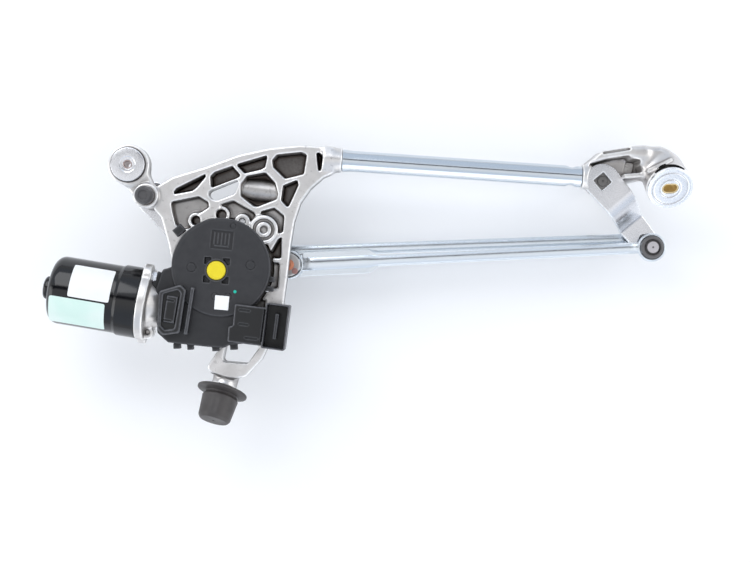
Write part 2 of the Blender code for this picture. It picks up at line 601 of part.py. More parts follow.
def build_gearbox(shop):
    """The cast gear housing: wheel chamber, worm tunnel, output boss and motor flange."""
    bottom = FRAME_BOTTOM_Z + WEB_THICKNESS + GAP
    top = HOUSING_TOP_Z
    wall = CHAMBER_RADIUS + HOUSING_WALL
    housing = disc(OUTPUT_AXIS, wall, bottom, top + SHAVE, FINE)
    half = TUNNEL_RADIUS + TUNNEL_WALL
    start = motor_point(FLANGE_START + 2 * MM, -half, bottom - MOTOR_AXIS_Z)
    size = Vector((TUNNEL_END - FLANGE_START, 2 * half, top + SHAVE - bottom))
    tunnel = block(start, start + size, MOTOR_ANGLE, start[:2])
    boss = disc(OUTPUT_AXIS, 17 * MM - GAP, OUTPUT_BOSS_Z, 0.0)
    flange = rod_between(motor_point(FLANGE_START), motor_point(FLANGE_START + FLANGE_THICKNESS), FLANGE_RADIUS, FINE)
    taper = rod_between(motor_point(FLANGE_START + 5 * MM), motor_point(FLANGE_START + 30 * MM), FLANGE_RADIUS - 10 * MM,
                        ROUND, TUNNEL_RADIUS + 3 * MM)
    shop.fuse(housing, tunnel, boss, flange, taper)
    chamber = disc(OUTPUT_AXIS, CHAMBER_RADIUS, bottom + HOUSING_WALL, 60 * MM, FINE)
    bore = rod_between(motor_point(FLANGE_START - 5 * MM), motor_point(TUNNEL_END - 4 * MM), TUNNEL_RADIUS)
    mouth = rod_between(motor_point(FLANGE_START - 5 * MM), motor_point(FLANGE_START + 4 * MM),
                        CAN_RADIUS - CAN_WALL - 3 * MM)
    corner = motor_point(FLANGE_START + FLANGE_THICKNESS + SHAVE, -50 * MM, top - MOTOR_AXIS_Z)
    shave = block(corner, corner + Vector((130, 160, 40)) * MM, MOTOR_ANGLE, corner[:2])
    shaft = disc(OUTPUT_AXIS, SPINDLE_RADIUS + RUNNING_CLEARANCE, -60 * MM, 20 * MM)
    shop.cut(housing, chamber, bore, mouth, shave, shaft)
    for side in (-1, 1):
        hole = rod_between(motor_point(FLANGE_START - 5 * MM, side * 27 * MM, 12 * MM * side),
                           motor_point(FLANGE_START + 14 * MM, side * 27 * MM, 12 * MM * side), SCREW_RADIUS, 16)
        shop.cut(housing, hole)
    return shop.part(housing, "gear_housing", "cast_aluminium")


def build_motor(shop):
    """The deep drawn motor can with its magnets, and the armature with its worm."""
    end = FLANGE_START - GAP
    place = along(motor_point(end), -MOTOR_DIRECTION)
    inside = CAN_RADIUS - CAN_WALL
    can = turned([(0.0, CAN_LENGTH + CAN_NOSE_LENGTH), (CAN_NOSE_RADIUS - 2 * MM, CAN_LENGTH + CAN_NOSE_LENGTH),
                  (CAN_NOSE_RADIUS, CAN_LENGTH + CAN_NOSE_LENGTH - 2 * MM), (CAN_NOSE_RADIUS, CAN_LENGTH),
                  (CAN_RADIUS - CAN_CORNER, CAN_LENGTH), (CAN_RADIUS - CAN_CORNER * 0.5, CAN_LENGTH - CAN_CORNER * 0.14),
                  (CAN_RADIUS - CAN_CORNER * 0.14, CAN_LENGTH - CAN_CORNER * 0.5), (CAN_RADIUS, CAN_LENGTH - CAN_CORNER),
                  (CAN_RADIUS, CAN_BAND_LENGTH + 2 * MM), (CAN_BAND_RADIUS, CAN_BAND_LENGTH), (CAN_BAND_RADIUS, 0.0),
                  (inside, 0.0), (inside, CAN_LENGTH - CAN_CORNER), (inside - CAN_CORNER * 0.4, CAN_LENGTH - CAN_WALL),
                  (ARMATURE_SHAFT_RADIUS + 0.2 * MM, CAN_LENGTH - CAN_WALL),
                  (ARMATURE_SHAFT_RADIUS + 0.2 * MM, CAN_LENGTH + CAN_NOSE_LENGTH - 2 * MM),
                  (0.0, CAN_LENGTH + CAN_NOSE_LENGTH - 2 * MM)], place, FINE)
    shop.part(can, "motor_can", "black_paint")
    middle = end - CAN_LENGTH / 2
    for index, side in enumerate((1, -1)):
        magnet = rod_between(motor_point(middle - MAGNET_LENGTH / 2), motor_point(middle + MAGNET_LENGTH / 2), inside - GAP)
        hollow = rod_between(motor_point(middle - MAGNET_LENGTH), motor_point(middle + MAGNET_LENGTH),
                             inside - MAGNET_THICKNESS)
        low = motor_point(middle - MAGNET_LENGTH, -60 * MM, -70 * MM if side > 0 else -12 * MM)
        size = Vector((2 * MAGNET_LENGTH, 120 * MM, 82 * MM))
        shop.cut(magnet, hollow, block(low, low + size, MOTOR_ANGLE, low[:2]))
        shop.part(magnet, "field_magnet_" + str(index + 1), "magnet")
    tip = end - CAN_LENGTH - CAN_NOSE_LENGTH + 3 * MM
    profile = [(0.0, 0.0), (ARMATURE_SHAFT_RADIUS, 0.0)]
    core_start = middle - ARMATURE_LENGTH / 2 - tip
    core_end = core_start + ARMATURE_LENGTH
    worm_start = -WORM_LENGTH / 2 - tip
    shaft_end = WORM_LENGTH / 2 + 6 * MM - tip
    profile += [(ARMATURE_SHAFT_RADIUS, core_start), (ARMATURE_RADIUS - 3 * MM, core_start),
                (ARMATURE_RADIUS, core_start + 3 * MM), (ARMATURE_RADIUS, core_end - 3 * MM),
                (ARMATURE_RADIUS - 3 * MM, core_end), (COMMUTATOR_RADIUS, core_end + 1 * MM),
                (COMMUTATOR_RADIUS, core_end + COMMUTATOR_LENGTH), (ARMATURE_SHAFT_RADIUS, core_end + COMMUTATOR_LENGTH),
                (ARMATURE_SHAFT_RADIUS, worm_start)]
    turns = 6
    for turn in range(turns):
        step = WORM_LENGTH / turns
        base = worm_start + turn * step
        profile += [(WORM_ROOT, base + 0.15 * step), (WORM_RADIUS, base + 0.4 * step), (WORM_RADIUS, base + 0.6 * step),
                    (WORM_ROOT, base + 0.85 * step)]
    profile += [(ARMATURE_SHAFT_RADIUS, worm_start + WORM_LENGTH), (ARMATURE_SHAFT_RADIUS, shaft_end), (0.0, shaft_end)]
    armature = turned(profile[::-1], along(motor_point(tip), MOTOR_DIRECTION), 16)
    shop.part(armature, "armature", "copper", "armature")
    for index, side in enumerate((-1, 1)):
        seat = motor_point(FLANGE_START + FLANGE_THICKNESS + GAP, side * 27 * MM, 12 * MM * side)
        screw = rod_between(seat - MOTOR_DIRECTION * (FLANGE_THICKNESS - 1.0 * MM), seat + MOTOR_DIRECTION * 3 * MM,
                            SCREW_RADIUS - GAP, 16)
        cap = rod_between(seat, seat + MOTOR_DIRECTION * SCREW_HEAD_HEIGHT, SCREW_HEAD_RADIUS, 6)
        shop.fuse(screw, cap)
        shop.part(screw, "motor_screw_" + str(index + 1), "zinc_plate")


def build_output(shop):
    """The worm wheel, its shaft, the crank and the crank's nut."""
    low = MOTOR_AXIS_Z - WHEEL_THICKNESS / 2

    outline = []
    for tooth in range(WHEEL_TEETH):
        for share, radius in ((0.0, WHEEL_RADIUS - WHEEL_TOOTH), (0.3, WHEEL_RADIUS - WHEEL_TOOTH),
                              (0.45, WHEEL_RADIUS), (0.85, WHEEL_RADIUS)):
            outline.append(polar(OUTPUT_AXIS, radius, 2 * math.pi * (tooth + share) / WHEEL_TEETH))
    wheel = prism(outline, low, low + WHEEL_THICKNESS)
    for turn in range(6):
        spot = polar(OUTPUT_AXIS, 23 * MM, turn * math.pi / 3)
        shop.cut(wheel, disc(spot, 7 * MM, low + 3 * MM, low + 30 * MM, 20))
    shop.cut(wheel, disc(OUTPUT_AXIS, SPINDLE_RADIUS + GAP, -50 * MM, 50 * MM))
    shop.part(wheel, "worm_wheel", "nylon", "crank")
    shaft = disc(OUTPUT_AXIS, SPINDLE_RADIUS, CRANK_TOP_Z - PLATE - NUT_HEIGHT - 1 * MM, low + WHEEL_THICKNESS + 2 * MM)
    shop.part(shaft, "output_shaft", "turned_steel", "crank")
    crank = prism(link_outline(OUTPUT_AXIS, CRANK_BALL, CRANK_HUB_RADIUS, CRANK_TIP_RADIUS), CRANK_TOP_Z - PLATE,
                  CRANK_TOP_Z)
    pin_hole = disc(CRANK_BALL, STUD_RADIUS + GAP, -80 * MM, 0.0)
    shop.cut(crank, disc(OUTPUT_AXIS, SPINDLE_RADIUS + GAP, -80 * MM, 0.0), pin_hole)
    shop.part(crank, "motor_crank", "dark_steel", "crank")
    rivet = disc(CRANK_BALL, STUD_RADIUS, CRANK_TOP_Z - PLATE + GAP, CRANK_TOP_Z + 1.6 * MM)
    shop.fuse(rivet, disc(CRANK_BALL, STUD_RADIUS + 2 * MM, CRANK_TOP_Z + GAP, CRANK_TOP_Z + 1.6 * MM))
    shop.part(rivet, "crank_pin_rivet", "copper", "crank")
    nut_top = CRANK_TOP_Z - PLATE - GAP
    nut = disc(OUTPUT_AXIS, NUT_RADIUS, nut_top - NUT_HEIGHT, nut_top, 6)
    shop.cut(nut, disc(OUTPUT_AXIS, SPINDLE_RADIUS + GAP, -80 * MM, 0.0))
    shop.part(nut, "crank_nut", "zinc_plate", "crank")


def ball_stud(plate_z, ball_z, side, centre):
    """Return a ball stud: a rivet shank in the plate, a collar on it and a ball beyond."""
    reach = abs(ball_z - plate_z)
    shank = [(0.0, 0.0), (STUD_RADIUS, 0.0)]
    neck = reach - BALL_RADIUS * math.cos(math.radians(35))
    profile = shank + [(STUD_RADIUS, neck)]
    for step in range(1, 6):
        turn = math.radians(35 + (180 - 35) * step / 5)
        profile.append((max(BALL_RADIUS * math.sin(turn), 0.0), reach - BALL_RADIUS * math.cos(turn)))
    profile[-1] = (0.0, reach + BALL_RADIUS)
    direction = Vector((0, 0, side))
    return turned(profile[::-1], along((centre.x, centre.y, plate_z), direction), 16)


def socket(centre, ball_z, open_side):
    """Return a plastic cup that snaps over a ball, open towards one side."""
    inner = BALL_RADIUS + SOCKET_CLEARANCE
    closed = BALL_RADIUS + 1.6 * MM
    mouth = ROD_HEIGHT / 2 + 0.5 * MM
    profile = [(0.0, -closed), (SOCKET_RADIUS - 2 * MM, -closed), (SOCKET_RADIUS, -closed + 2 * MM), (SOCKET_RADIUS, mouth)]
    lip = math.asin(mouth / inner) if mouth < inner else math.pi / 2
    for step in range(6):
        turn = lip - (lip + math.pi / 2) * step / 5
        profile.append((inner * math.cos(turn), inner * math.sin(turn)))
    profile[-1] = (0.0, -inner)
    return turned(profile[::-1], along((centre.x, centre.y, ball_z), (0, 0, open_side)), 20)


def build_lever(shop, axis, tip, start_z, end_z, bend, name, carrier):
    """A pressed lever: a hub plate, a sloping step and a tip plate, made as one stepped strip."""
    run = tip - axis
    heading = math.atan2(run.y, run.x)
    side = link_outline((0, 0), (run.length, 0), LEVER_HUB_RADIUS, LEVER_TIP_RADIUS, 12)
    plate = prism(side, -90 * MM, 20 * MM)
    if bend:
        strip = [(-40 * MM, start_z), (LEVER_BEND_START, start_z), (LEVER_BEND_END, end_z), (130 * MM, end_z),
                 (130 * MM, end_z + PLATE), (LEVER_BEND_END + 1.5 * MM, end_z + PLATE),
                 (LEVER_BEND_START + 1.5 * MM, start_z + PLATE), (-40 * MM, start_z + PLATE)]
    else:
        strip = [(-40 * MM, start_z), (130 * MM, start_z), (130 * MM, start_z + PLATE), (-40 * MM, start_z + PLATE)]
    stepped = prism(strip, -40 * MM, 40 * MM)
    stepped.data.transform(Matrix.Rotation(math.radians(90), 4, "X"))
    place = Matrix.Translation((axis.x, axis.y, 0)) @ Matrix.Rotation(heading, 4, "Z")
    stepped.data.transform(place)
    plate.data.transform(place)
    common = plate.modifiers.new("step", "BOOLEAN")
    common.operation = "INTERSECT"
    common.solver = "EXACT"
    common.object = shop.tool(stepped)
    return shop.part(plate, name, "zinc_plate", carrier)


def square_hole(centre, side, angle):
    """Return an upright square cutter centred on an axis."""
    half = side / 2
    return block((centre.x - half, centre.y - half, -100 * MM), (centre.x + half, centre.y + half, 60 * MM), angle,
                 centre[:2])


def build_spindle(shop, axis, top, carrier, name, square_from, square_to):
    """A wiper spindle: plain journal, a square seat for its lever, a knurled taper and a thread."""
    knurl = SPINDLE_END_Z + THREAD_LENGTH
    profile = [(0.0, top), (SPINDLE_RADIUS - 0.6 * MM, top), (SPINDLE_RADIUS, top - 0.6 * MM),
               (SPINDLE_RADIUS, knurl + KNURL_LENGTH), (SPINDLE_RADIUS - 0.8 * MM, knurl),
               (SPINDLE_RADIUS - 1.4 * MM, knurl), (SPINDLE_RADIUS - 1.4 * MM, SPINDLE_END_Z + 0.8 * MM),
               (SPINDLE_RADIUS - 2.2 * MM, SPINDLE_END_Z), (0.0, SPINDLE_END_Z)]
    spindle = turned(profile, Matrix.Translation((axis.x, axis.y, 0)))
    angle = LEVER_PARK_ANGLE
    blank = disc(axis, SPINDLE_RADIUS + 2 * MM, square_from, square_to)
    shop.cut(blank, square_hole(axis, SQUARE_SIDE, angle))
    shop.cut(spindle, blank)
    return shop.part(spindle, name, "turned_steel", carrier)


def build_levers(shop):
    """Both levers with their spindles, bearings, ball studs and the driver's cap."""
    side = SQUARE_SIDE + 2 * GAP
    lever = build_lever(shop, PASSENGER_AXIS, OUTER_BALL, PASSENGER_PLATE_Z, LEVER_PLANE_Z - PLATE, True,
                        "passenger_lever", "passenger")
    stud_room = STUD_RADIUS + GAP
    shop.cut(lever, square_hole(PASSENGER_AXIS, side, LEVER_PARK_ANGLE), disc(OUTER_BALL, stud_room, -90 * MM, 0),
             disc(INNER_BALL, stud_room, -90 * MM, 0))
    build_spindle(shop, PASSENGER_AXIS, PASSENGER_PLATE_Z + PLATE + 1.0 * MM, "passenger", "passenger_spindle",
                  PASSENGER_PLATE_Z - GAP, PASSENGER_PLATE_Z + PLATE + 5 * MM)
    low = LEVER_PLANE_Z - PLATE
    shop.part(ball_stud(low, BALL_A_Z, 1, OUTER_BALL), "outer_ball_stud", "turned_steel", "passenger")
    shop.part(ball_stud(LEVER_PLANE_Z, BALL_B_Z, -1, INNER_BALL), "inner_ball_stud", "turned_steel", "passenger")
    plate_z = LEVER_PLANE_Z - PLATE
    lever = build_lever(shop, DRIVER_AXIS, DRIVER_BALL, plate_z, plate_z, False, "driver_lever", "driver")
    shop.cut(lever, square_hole(DRIVER_AXIS, side, LEVER_PARK_ANGLE), disc(DRIVER_BALL, stud_room, -90 * MM, 0))
    build_spindle(shop, DRIVER_AXIS, DRIVER_SLEEVE_TOP_Z + 2 * MM, "driver", "driver_spindle", plate_z - GAP,
                  plate_z + PLATE + GAP)
    shop.part(ball_stud(LEVER_PLANE_Z, BALL_B_Z, -1, DRIVER_BALL), "driver_ball_stud", "turned_steel", "driver")
    cap_low = DRIVER_SLEEVE_TOP_Z + 1.0 * MM
    reach = SPINDLE_RADIUS + GAP
    cap = turned([(0.0, cap_low + 14 * MM), (7 * MM, cap_low + 14 * MM), (8.3 * MM, cap_low + 12.5 * MM),
                  (8.6 * MM, cap_low), (reach, cap_low), (reach, DRIVER_SLEEVE_TOP_Z + 2 * MM + GAP),
                  (0.0, DRIVER_SLEEVE_TOP_Z + 2 * MM + GAP)], Matrix.Translation(DRIVER_AXIS))
    shop.part(cap, "driver_spindle_cap", "black_plastic", "driver")
    for name, axis, low, high in (
            ("driver_bearing", DRIVER_AXIS, DRIVER_SLEEVE_BOTTOM_Z, DRIVER_SLEEVE_TOP_Z),
            ("passenger_bearing", PASSENGER_AXIS, PASSENGER_SLEEVE_BOTTOM_Z, PASSENGER_PLATE_Z - GAP)):
        inner = SPINDLE_RADIUS + RUNNING_CLEARANCE
        bearing = turned([(inner, high), (BEARING_RADIUS, high), (BEARING_RADIUS, low), (inner, low), (inner, high)],
                         Matrix.Translation(axis))
        shop.part(bearing, name, "bronze")
    clip_top = PASSENGER_SLEEVE_BOTTOM_Z - GAP
    clip = turned([(SPINDLE_RADIUS + GAP, clip_top), (SPINDLE_RADIUS + 4 * MM, clip_top),
                   (SPINDLE_RADIUS + 4 * MM, clip_top - 1.2 * MM), (SPINDLE_RADIUS + GAP, clip_top - 1.2 * MM),
                   (SPINDLE_RADIUS + GAP, clip_top)], Matrix.Translation(PASSENGER_AXIS))
    shop.part(clip, "passenger_retaining_ring", "dark_steel", "passenger")


def build_rod(shop, start, end, top, name, carrier, wide):
    """A pressed channel rod: eyes at both ends, a hat shaped channel between and a wide root."""
    low = top - ROD_HEIGHT
    run = end - start
    heading = math.atan2(run.y, run.x)
    length = run.length
    place = Matrix.Translation((start.x, start.y, 0)) @ Matrix.Rotation(heading, 4, "Z")
    sheet = ROD_WALL
    half = ROD_WIDTH / 2
    eye_low, eye_high = low + 1.5 * MM, low + 1.5 * MM + 3 * MM

    def placed(shape):
        shape.data.transform(place)
        return shape

    rod = placed(block((ROD_EYE_RADIUS - 4 * MM, -half, low), (length - ROD_EYE_RADIUS + 4 * MM, half, top)))
    eyes = [placed(disc((x, 0), ROD_EYE_RADIUS, eye_low, eye_high)) for x in (0.0, length)]
    shop.fuse(rod, *eyes)
    if wide:
        spread = ROD_WIDE / 2
        outline = rounded([(8 * MM, -spread), (ROD_WIDE_LENGTH, -spread), (ROD_WIDE_LENGTH + 12 * MM, -half + MM),
                           (ROD_WIDE_LENGTH + 12 * MM, half - MM), (ROD_WIDE_LENGTH, spread), (8 * MM, spread)], 3 * MM, 2)
        shop.fuse(rod, placed(prism(outline, eye_low, eye_high)))
    room = placed(block((ROD_EYE_RADIUS + 6 * MM, -half + sheet, low - 2 * MM),
                        (length - ROD_EYE_RADIUS - 6 * MM, half - sheet, top - sheet)))
    holes = [placed(disc((x, 0), SOCKET_RADIUS + GAP, low - 10 * MM, top + 10 * MM)) for x in (0.0, length)]
    shop.cut(rod, room, *holes)
    return shop.part(rod, name, "zinc_plate", carrier)


def build_rods(shop):
    """The drive rod from the crank, and the coupling rod between the two levers."""
    build_rod(shop, CRANK_BALL, OUTER_BALL, ROD_A_TOP_Z, "drive_rod", "drive_rod", True)
    shop.part(socket(OUTER_BALL, BALL_A_Z, -1), "drive_rod_lever_socket", "grey_plastic", "drive_rod")
    shop.part(socket(CRANK_BALL, BALL_A_Z, 1), "drive_rod_crank_socket", "grey_plastic", "drive_rod")
    crank_under = CRANK_TOP_Z - PLATE - GAP
    shop.part(ball_stud(crank_under, BALL_A_Z, -1, CRANK_BALL), "crank_ball_stud", "turned_steel", "drive_rod")
    build_rod(shop, DRIVER_BALL, INNER_BALL, ROD_B_TOP_Z, "coupling_rod", "coupling_rod", False)
    shop.part(socket(INNER_BALL, BALL_B_Z, 1), "coupling_rod_passenger_socket", "grey_plastic", "coupling_rod")
    shop.part(socket(DRIVER_BALL, BALL_B_Z, 1), "coupling_rod_driver_socket", "grey_plastic", "coupling_rod")


COVER_LOWER = [(28, -120), (35, -99), (60, -92), (118, -92), (126, -128), (121, -131), (114, -168), (98, -169),
               (92, -172), (76, -171), (40, -167), (30, -158)]
POD_OUTLINE = [(33, -119), (53, -113), (58, -118), (52, -158), (36, -160), (31, -154)]
BRIDGE_OUTLINE = [(103, -131), (132, -134.5), (127, -170), (96, -166), (97, -152), (101, -151)]
CONNECTOR_OUTLINE = [(132.3, -129.8), (154.5, -132.5), (149, -174.5), (127, -171.5)]


def build_cover(shop):
    """The moulded cover over the gears, with the electronics box and the connector on it."""
    low = HOUSING_TOP_Z + GAP
    cover = disc(OUTPUT_AXIS, CHAMBER_RADIUS + HOUSING_WALL + 1.0 * MM, low, COVER_TOP_Z, FINE)
    lower = prism(rounded(flat(COVER_LOWER), 3 * MM, 2), low, COVER_TOP_Z - 1.5 * MM)
    pod = prism(rounded(flat(POD_OUTLINE), 3 * MM, 2), low, POD_TOP_Z)
    bridge = prism(rounded(flat(BRIDGE_OUTLINE), 1.5 * MM, 2), low, CONNECTOR_TOP_Z - 5 * MM)
    shroud = prism(rounded(flat(CONNECTOR_OUTLINE), 1.5 * MM, 2), low - 4 * MM, CONNECTOR_TOP_Z)
    shop.fuse(cover, lower, pod, bridge, shroud)
    hollow = disc(OUTPUT_AXIS, CHAMBER_RADIUS - 2.5 * MM, low - 5 * MM, COVER_TOP_Z - COVER_WALL - 3 * MM, FINE)
    plug_axis = OUTPUT_AXIS - PLUG_OFFSET
    plug_seat = disc(plug_axis, PLUG_RADIUS + GAP, COVER_TOP_Z - 2 * MM, 60 * MM)
    centre = sum((Vector(point) for point in flat(CONNECTOR_OUTLINE)), Vector((0, 0))) / 4
    inner = [centre + (Vector(point) - centre) * 0.82 for point in flat(CONNECTOR_OUTLINE)]
    socket_room = prism(rounded(inner, 1.0 * MM, 2), CONNECTOR_FLOOR_Z, 60 * MM)
    shop.cut(cover, hollow, plug_seat, socket_room)
    shop.part(cover, "gear_cover", "black_plastic")
    plug = disc(plug_axis, PLUG_RADIUS, COVER_TOP_Z - 2 * MM + GAP, COVER_TOP_Z + 2.5 * MM)
    shop.part(plug, "vent_plug", "yellow_plastic")
    along_row = Vector((-5.5, -42.0)).normalized()
    for index in range(4):
        spot = centre + along_row * (index - 1.5) * 7 * MM
        floor = CONNECTOR_FLOOR_Z
        half_long, half_thin = 1.4 * MM, 0.5 * MM
        pin = block((spot.x - half_thin, spot.y - half_long, floor + GAP), (spot.x + half_thin, spot.y + half_long,
                                                                            floor + 7 * MM))
        shop.part(pin, "connector_pin_" + str(index + 1), "copper")


def build_screws(shop):
    """The screws that hold the gearbox to the frame."""
    for index, (x, y) in enumerate(GEARBOX_SCREWS):
        spot = Vector((x, y)) * MM
        seat = FRAME_BOTTOM_Z - GAP
        screw = disc(spot, SCREW_RADIUS, seat - SCREW_HEAD_HEIGHT, FRAME_BOTTOM_Z + WEB_THICKNESS, 16)
        shop.fuse(screw, disc(spot, SCREW_HEAD_RADIUS, seat - SCREW_HEAD_HEIGHT, seat, 6))
        shop.part(screw, "gearbox_screw_" + str(index + 1), "zinc_plate")


def main():
    """Build the whole linkage."""
    clear_scene()
    shop = Workshop()
    shop.axis("passenger", PASSENGER_AXIS)
    shop.axis("driver", DRIVER_AXIS)
    shop.axis("crank", OUTPUT_AXIS)
    shop.axis("drive_rod", OUTER_BALL)
    shop.axis("coupling_rod", INNER_BALL)
    shop.axis("armature", WORM_FOOT)
    build_frame(shop)
    build_tube(shop)
    build_pivot_casting(shop)
    build_bushes(shop)
    build_foot(shop)
    build_gearbox(shop)
    build_motor(shop)
    build_output(shop)
    build_levers(shop)
    build_rods(shop)
    build_cover(shop)
    build_screws(shop)


main()
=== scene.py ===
"""Looks of a windscreen wiper linkage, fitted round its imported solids.

Lengths are millimetres in the frame of the solids: the origin is the left bush, +X runs to the
passenger's side and +Z towards the motor's cover. Meshes are written in metres.
"""
import itertools
import logging
import math
from dataclasses import dataclass
from enum import Enum
from typing import Any, Callable, Optional, Sequence

import bmesh
import bpy
import numpy as np
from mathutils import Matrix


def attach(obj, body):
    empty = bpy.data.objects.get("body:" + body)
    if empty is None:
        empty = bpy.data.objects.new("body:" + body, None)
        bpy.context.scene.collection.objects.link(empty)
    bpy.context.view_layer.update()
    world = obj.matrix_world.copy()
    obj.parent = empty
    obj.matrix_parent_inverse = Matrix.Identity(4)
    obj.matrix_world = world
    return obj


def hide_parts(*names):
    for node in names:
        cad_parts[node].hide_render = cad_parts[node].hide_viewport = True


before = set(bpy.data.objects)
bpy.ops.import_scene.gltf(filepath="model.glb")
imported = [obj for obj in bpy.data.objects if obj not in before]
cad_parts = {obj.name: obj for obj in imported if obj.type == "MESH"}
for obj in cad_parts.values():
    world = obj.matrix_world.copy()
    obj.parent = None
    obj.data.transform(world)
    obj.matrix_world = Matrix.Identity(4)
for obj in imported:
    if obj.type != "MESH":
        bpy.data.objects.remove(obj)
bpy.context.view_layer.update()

LOG = logging.getLogger("wiper_linkage")
MM = 0.001
SHARP_ANGLE = math.radians(38)
MERGE_DISTANCE = 0.000002
EMPTY_DISTANCE = 40.0
SCREW_APOTHEM, SCREW_CORNER = 4.2, 4.6
NUT_APOTHEM, NUT_CORNER = 8.5, 9.8
Array = np.ndarray
Point = Sequence[float]


class Body(str, Enum):
    """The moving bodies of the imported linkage."""

    FRAME = "mounting_frame"
    CRANK = "motor_crank"
    ARMATURE = "motor_armature"
    PASSENGER = "passenger_arm"
    DRIVER = "driver_arm"
    DRIVE_ROD = "drive_link"
    COUPLING_ROD = "coupling_link"


class Slot(str, Enum):
    """The record's material slots."""

    CAST = "cast_aluminium"
    TUBE = "tube_steel"
    ZINC = "zinc_plate"
    DARK_STEEL = "dark_steel"
    TURNED = "turned_steel"
    RUBBER = "rubber"
    PAINT = "black_paint"
    MOULDING = "black_plastic"
    GREY_PLASTIC = "grey_plastic"
    YELLOW = "yellow_plastic"
    BRONZE = "bronze"
    NYLON = "nylon"
    MAGNET = "magnet"
    COPPER = "copper"


def unit(vector: Point) -> Array:
    """Return a vector of length one in the same direction."""
    vector = np.asarray(vector, float)
    return vector / np.linalg.norm(vector)


@dataclass(frozen=True)
class Axes:
    """Right-handed axes at a place: local Z runs ahead, and local X lies towards the side hint."""

    origin: Point = (0.0, 0.0, 0.0)
    ahead: Point = (0.0, 0.0, 1.0)
    side: Point = (1.0, 0.0, 0.0)

    def rows(self) -> Array:
        """Return the three axes as rows: side, up and ahead."""
        ahead = unit(self.ahead)
        side = np.asarray(self.side, float)
        side = unit(side - ahead * (side @ ahead))
        return np.stack([side, np.cross(ahead, side), ahead])

    def place(self, local: Array) -> Array:
        """Return local points in the frame: each is the origin plus its share of the three axes."""
        return local @ self.rows() + np.asarray(self.origin, float)

    def local(self, points: Array) -> Array:
        """Return points of the frame in these axes."""
        return (points - np.asarray(self.origin, float)) @ self.rows().T


def grid_faces(rows: int, columns: int, wrap_rows: bool, wrap_columns: bool) -> Array:
    """Return the quads of a grid of points.

    Args:
        rows: Number of rows of points.
        columns: Number of points in a row.
        wrap_rows: Whether the last row joins the first.
        wrap_columns: Whether the last column joins the first.

    Returns:
        One row of four point numbers for each quad.
    """
    i = np.arange(rows if wrap_rows else rows - 1)[:, None]
    j = np.arange(columns if wrap_columns else columns - 1)[None, :]
    i_next, j_next = (i + 1) % rows, (j + 1) % columns
    corners = [i * columns + j, i * columns + j_next, i_next * columns + j_next, i_next * columns + j]
    return np.stack([np.broadcast_to(c, (i.shape[0], j.shape[1])) for c in corners], -1).reshape(-1, 4)


def make_piece(name: str, points: Array, quads: Array, tidy: bool = True) -> bpy.types.Object:
    """Return an object at the origin with the given points and quads.

    Args:
        name: The piece's name.
        points: Its points in millimetres.
        quads: Four point numbers for each face.
        tidy: Whether doubles are merged and the faces turned outwards, with sharp edges kept.

    Returns:
        The new object.
    """
    mesh = bpy.data.meshes.new(name)
    mesh.vertices.add(len(points))
    mesh.vertices.foreach_set("co", (points * MM).astype(np.float32).ravel())
    mesh.loops.add(quads.size)
    mesh.loops.foreach_set("vertex_index", quads.astype(np.int32).ravel())
    mesh.polygons.add(len(quads))
    mesh.polygons.foreach_set("loop_start", np.arange(0, quads.size, 4, dtype=np.int32))
    mesh.update(calc_edges=True)
    if tidy:
        shape = bmesh.new()
        shape.from_mesh(mesh)
        bmesh.ops.remove_doubles(shape, verts=shape.verts, dist=MERGE_DISTANCE)
        bmesh.ops.recalc_face_normals(shape, faces=shape.faces)
        shape.to_mesh(mesh)
        shape.free()
    mesh.shade_smooth()
    if tidy:
        mesh.set_sharp_from_angle(angle=SHARP_ANGLE)
    piece = bpy.data.objects.new(name, mesh)
    bpy.context.scene.collection.objects.link(piece)
    return piece


def filleted(corners: Sequence[Point], radius: Any, closed: bool = True, steps: int = 5) -> Array:
    """Return a line through corners that are rounded by arcs.

    Each arc leaves its corner's two sides at an equal reach, the radius over the tangent of half the
    corner's angle, and its points turn evenly about the arc's centre.

    Args:
        corners: The corners in order, two numbers each.
        radius: One radius, or one for each corner.
        closed: Whether the line joins its ends.
        steps: Number of steps in each arc.

    Returns:
        The points of the line.
    """
    p = np.asarray(corners, float)
    radii = np.broadcast_to(np.asarray(radius, float), (len(p),))
    before, after = np.roll(p, 1, 0) - p, np.roll(p, -1, 0) - p
    length_before = np.linalg.norm(before, axis=1)
    length_after = np.linalg.norm(after, axis=1)
    to_before, to_after = before / length_before[:, None], after / length_after[:, None]
    cosine = np.clip((to_before * to_after).sum(1), -0.99999, 0.99999)
    half = np.arccos(cosine) / 2
    reach = np.minimum(radii / np.tan(half), 0.45 * np.minimum(length_before, length_after))
    bend = reach * np.tan(half)
    middle_way = to_before + to_after
    middle_way /= np.linalg.norm(middle_way, axis=1)[:, None]
    centre = p + middle_way * (bend / np.sin(half))[:, None]
    start = p + to_before * reach[:, None] - centre
    end = p + to_after * reach[:, None] - centre
    turn = (math.pi - 2 * half)[:, None, None]
    share = np.linspace(0, 1, steps + 1)[None, :, None]
    arc = (np.sin((1 - share) * turn) * start[:, None] + np.sin(share * turn) * end[:, None]) / np.sin(turn)
    line = centre[:, None] + arc
    if closed:
        return line.reshape(-1, 2)
    return np.concatenate([p[:1], line[1:-1].reshape(-1, 2), p[-1:]])


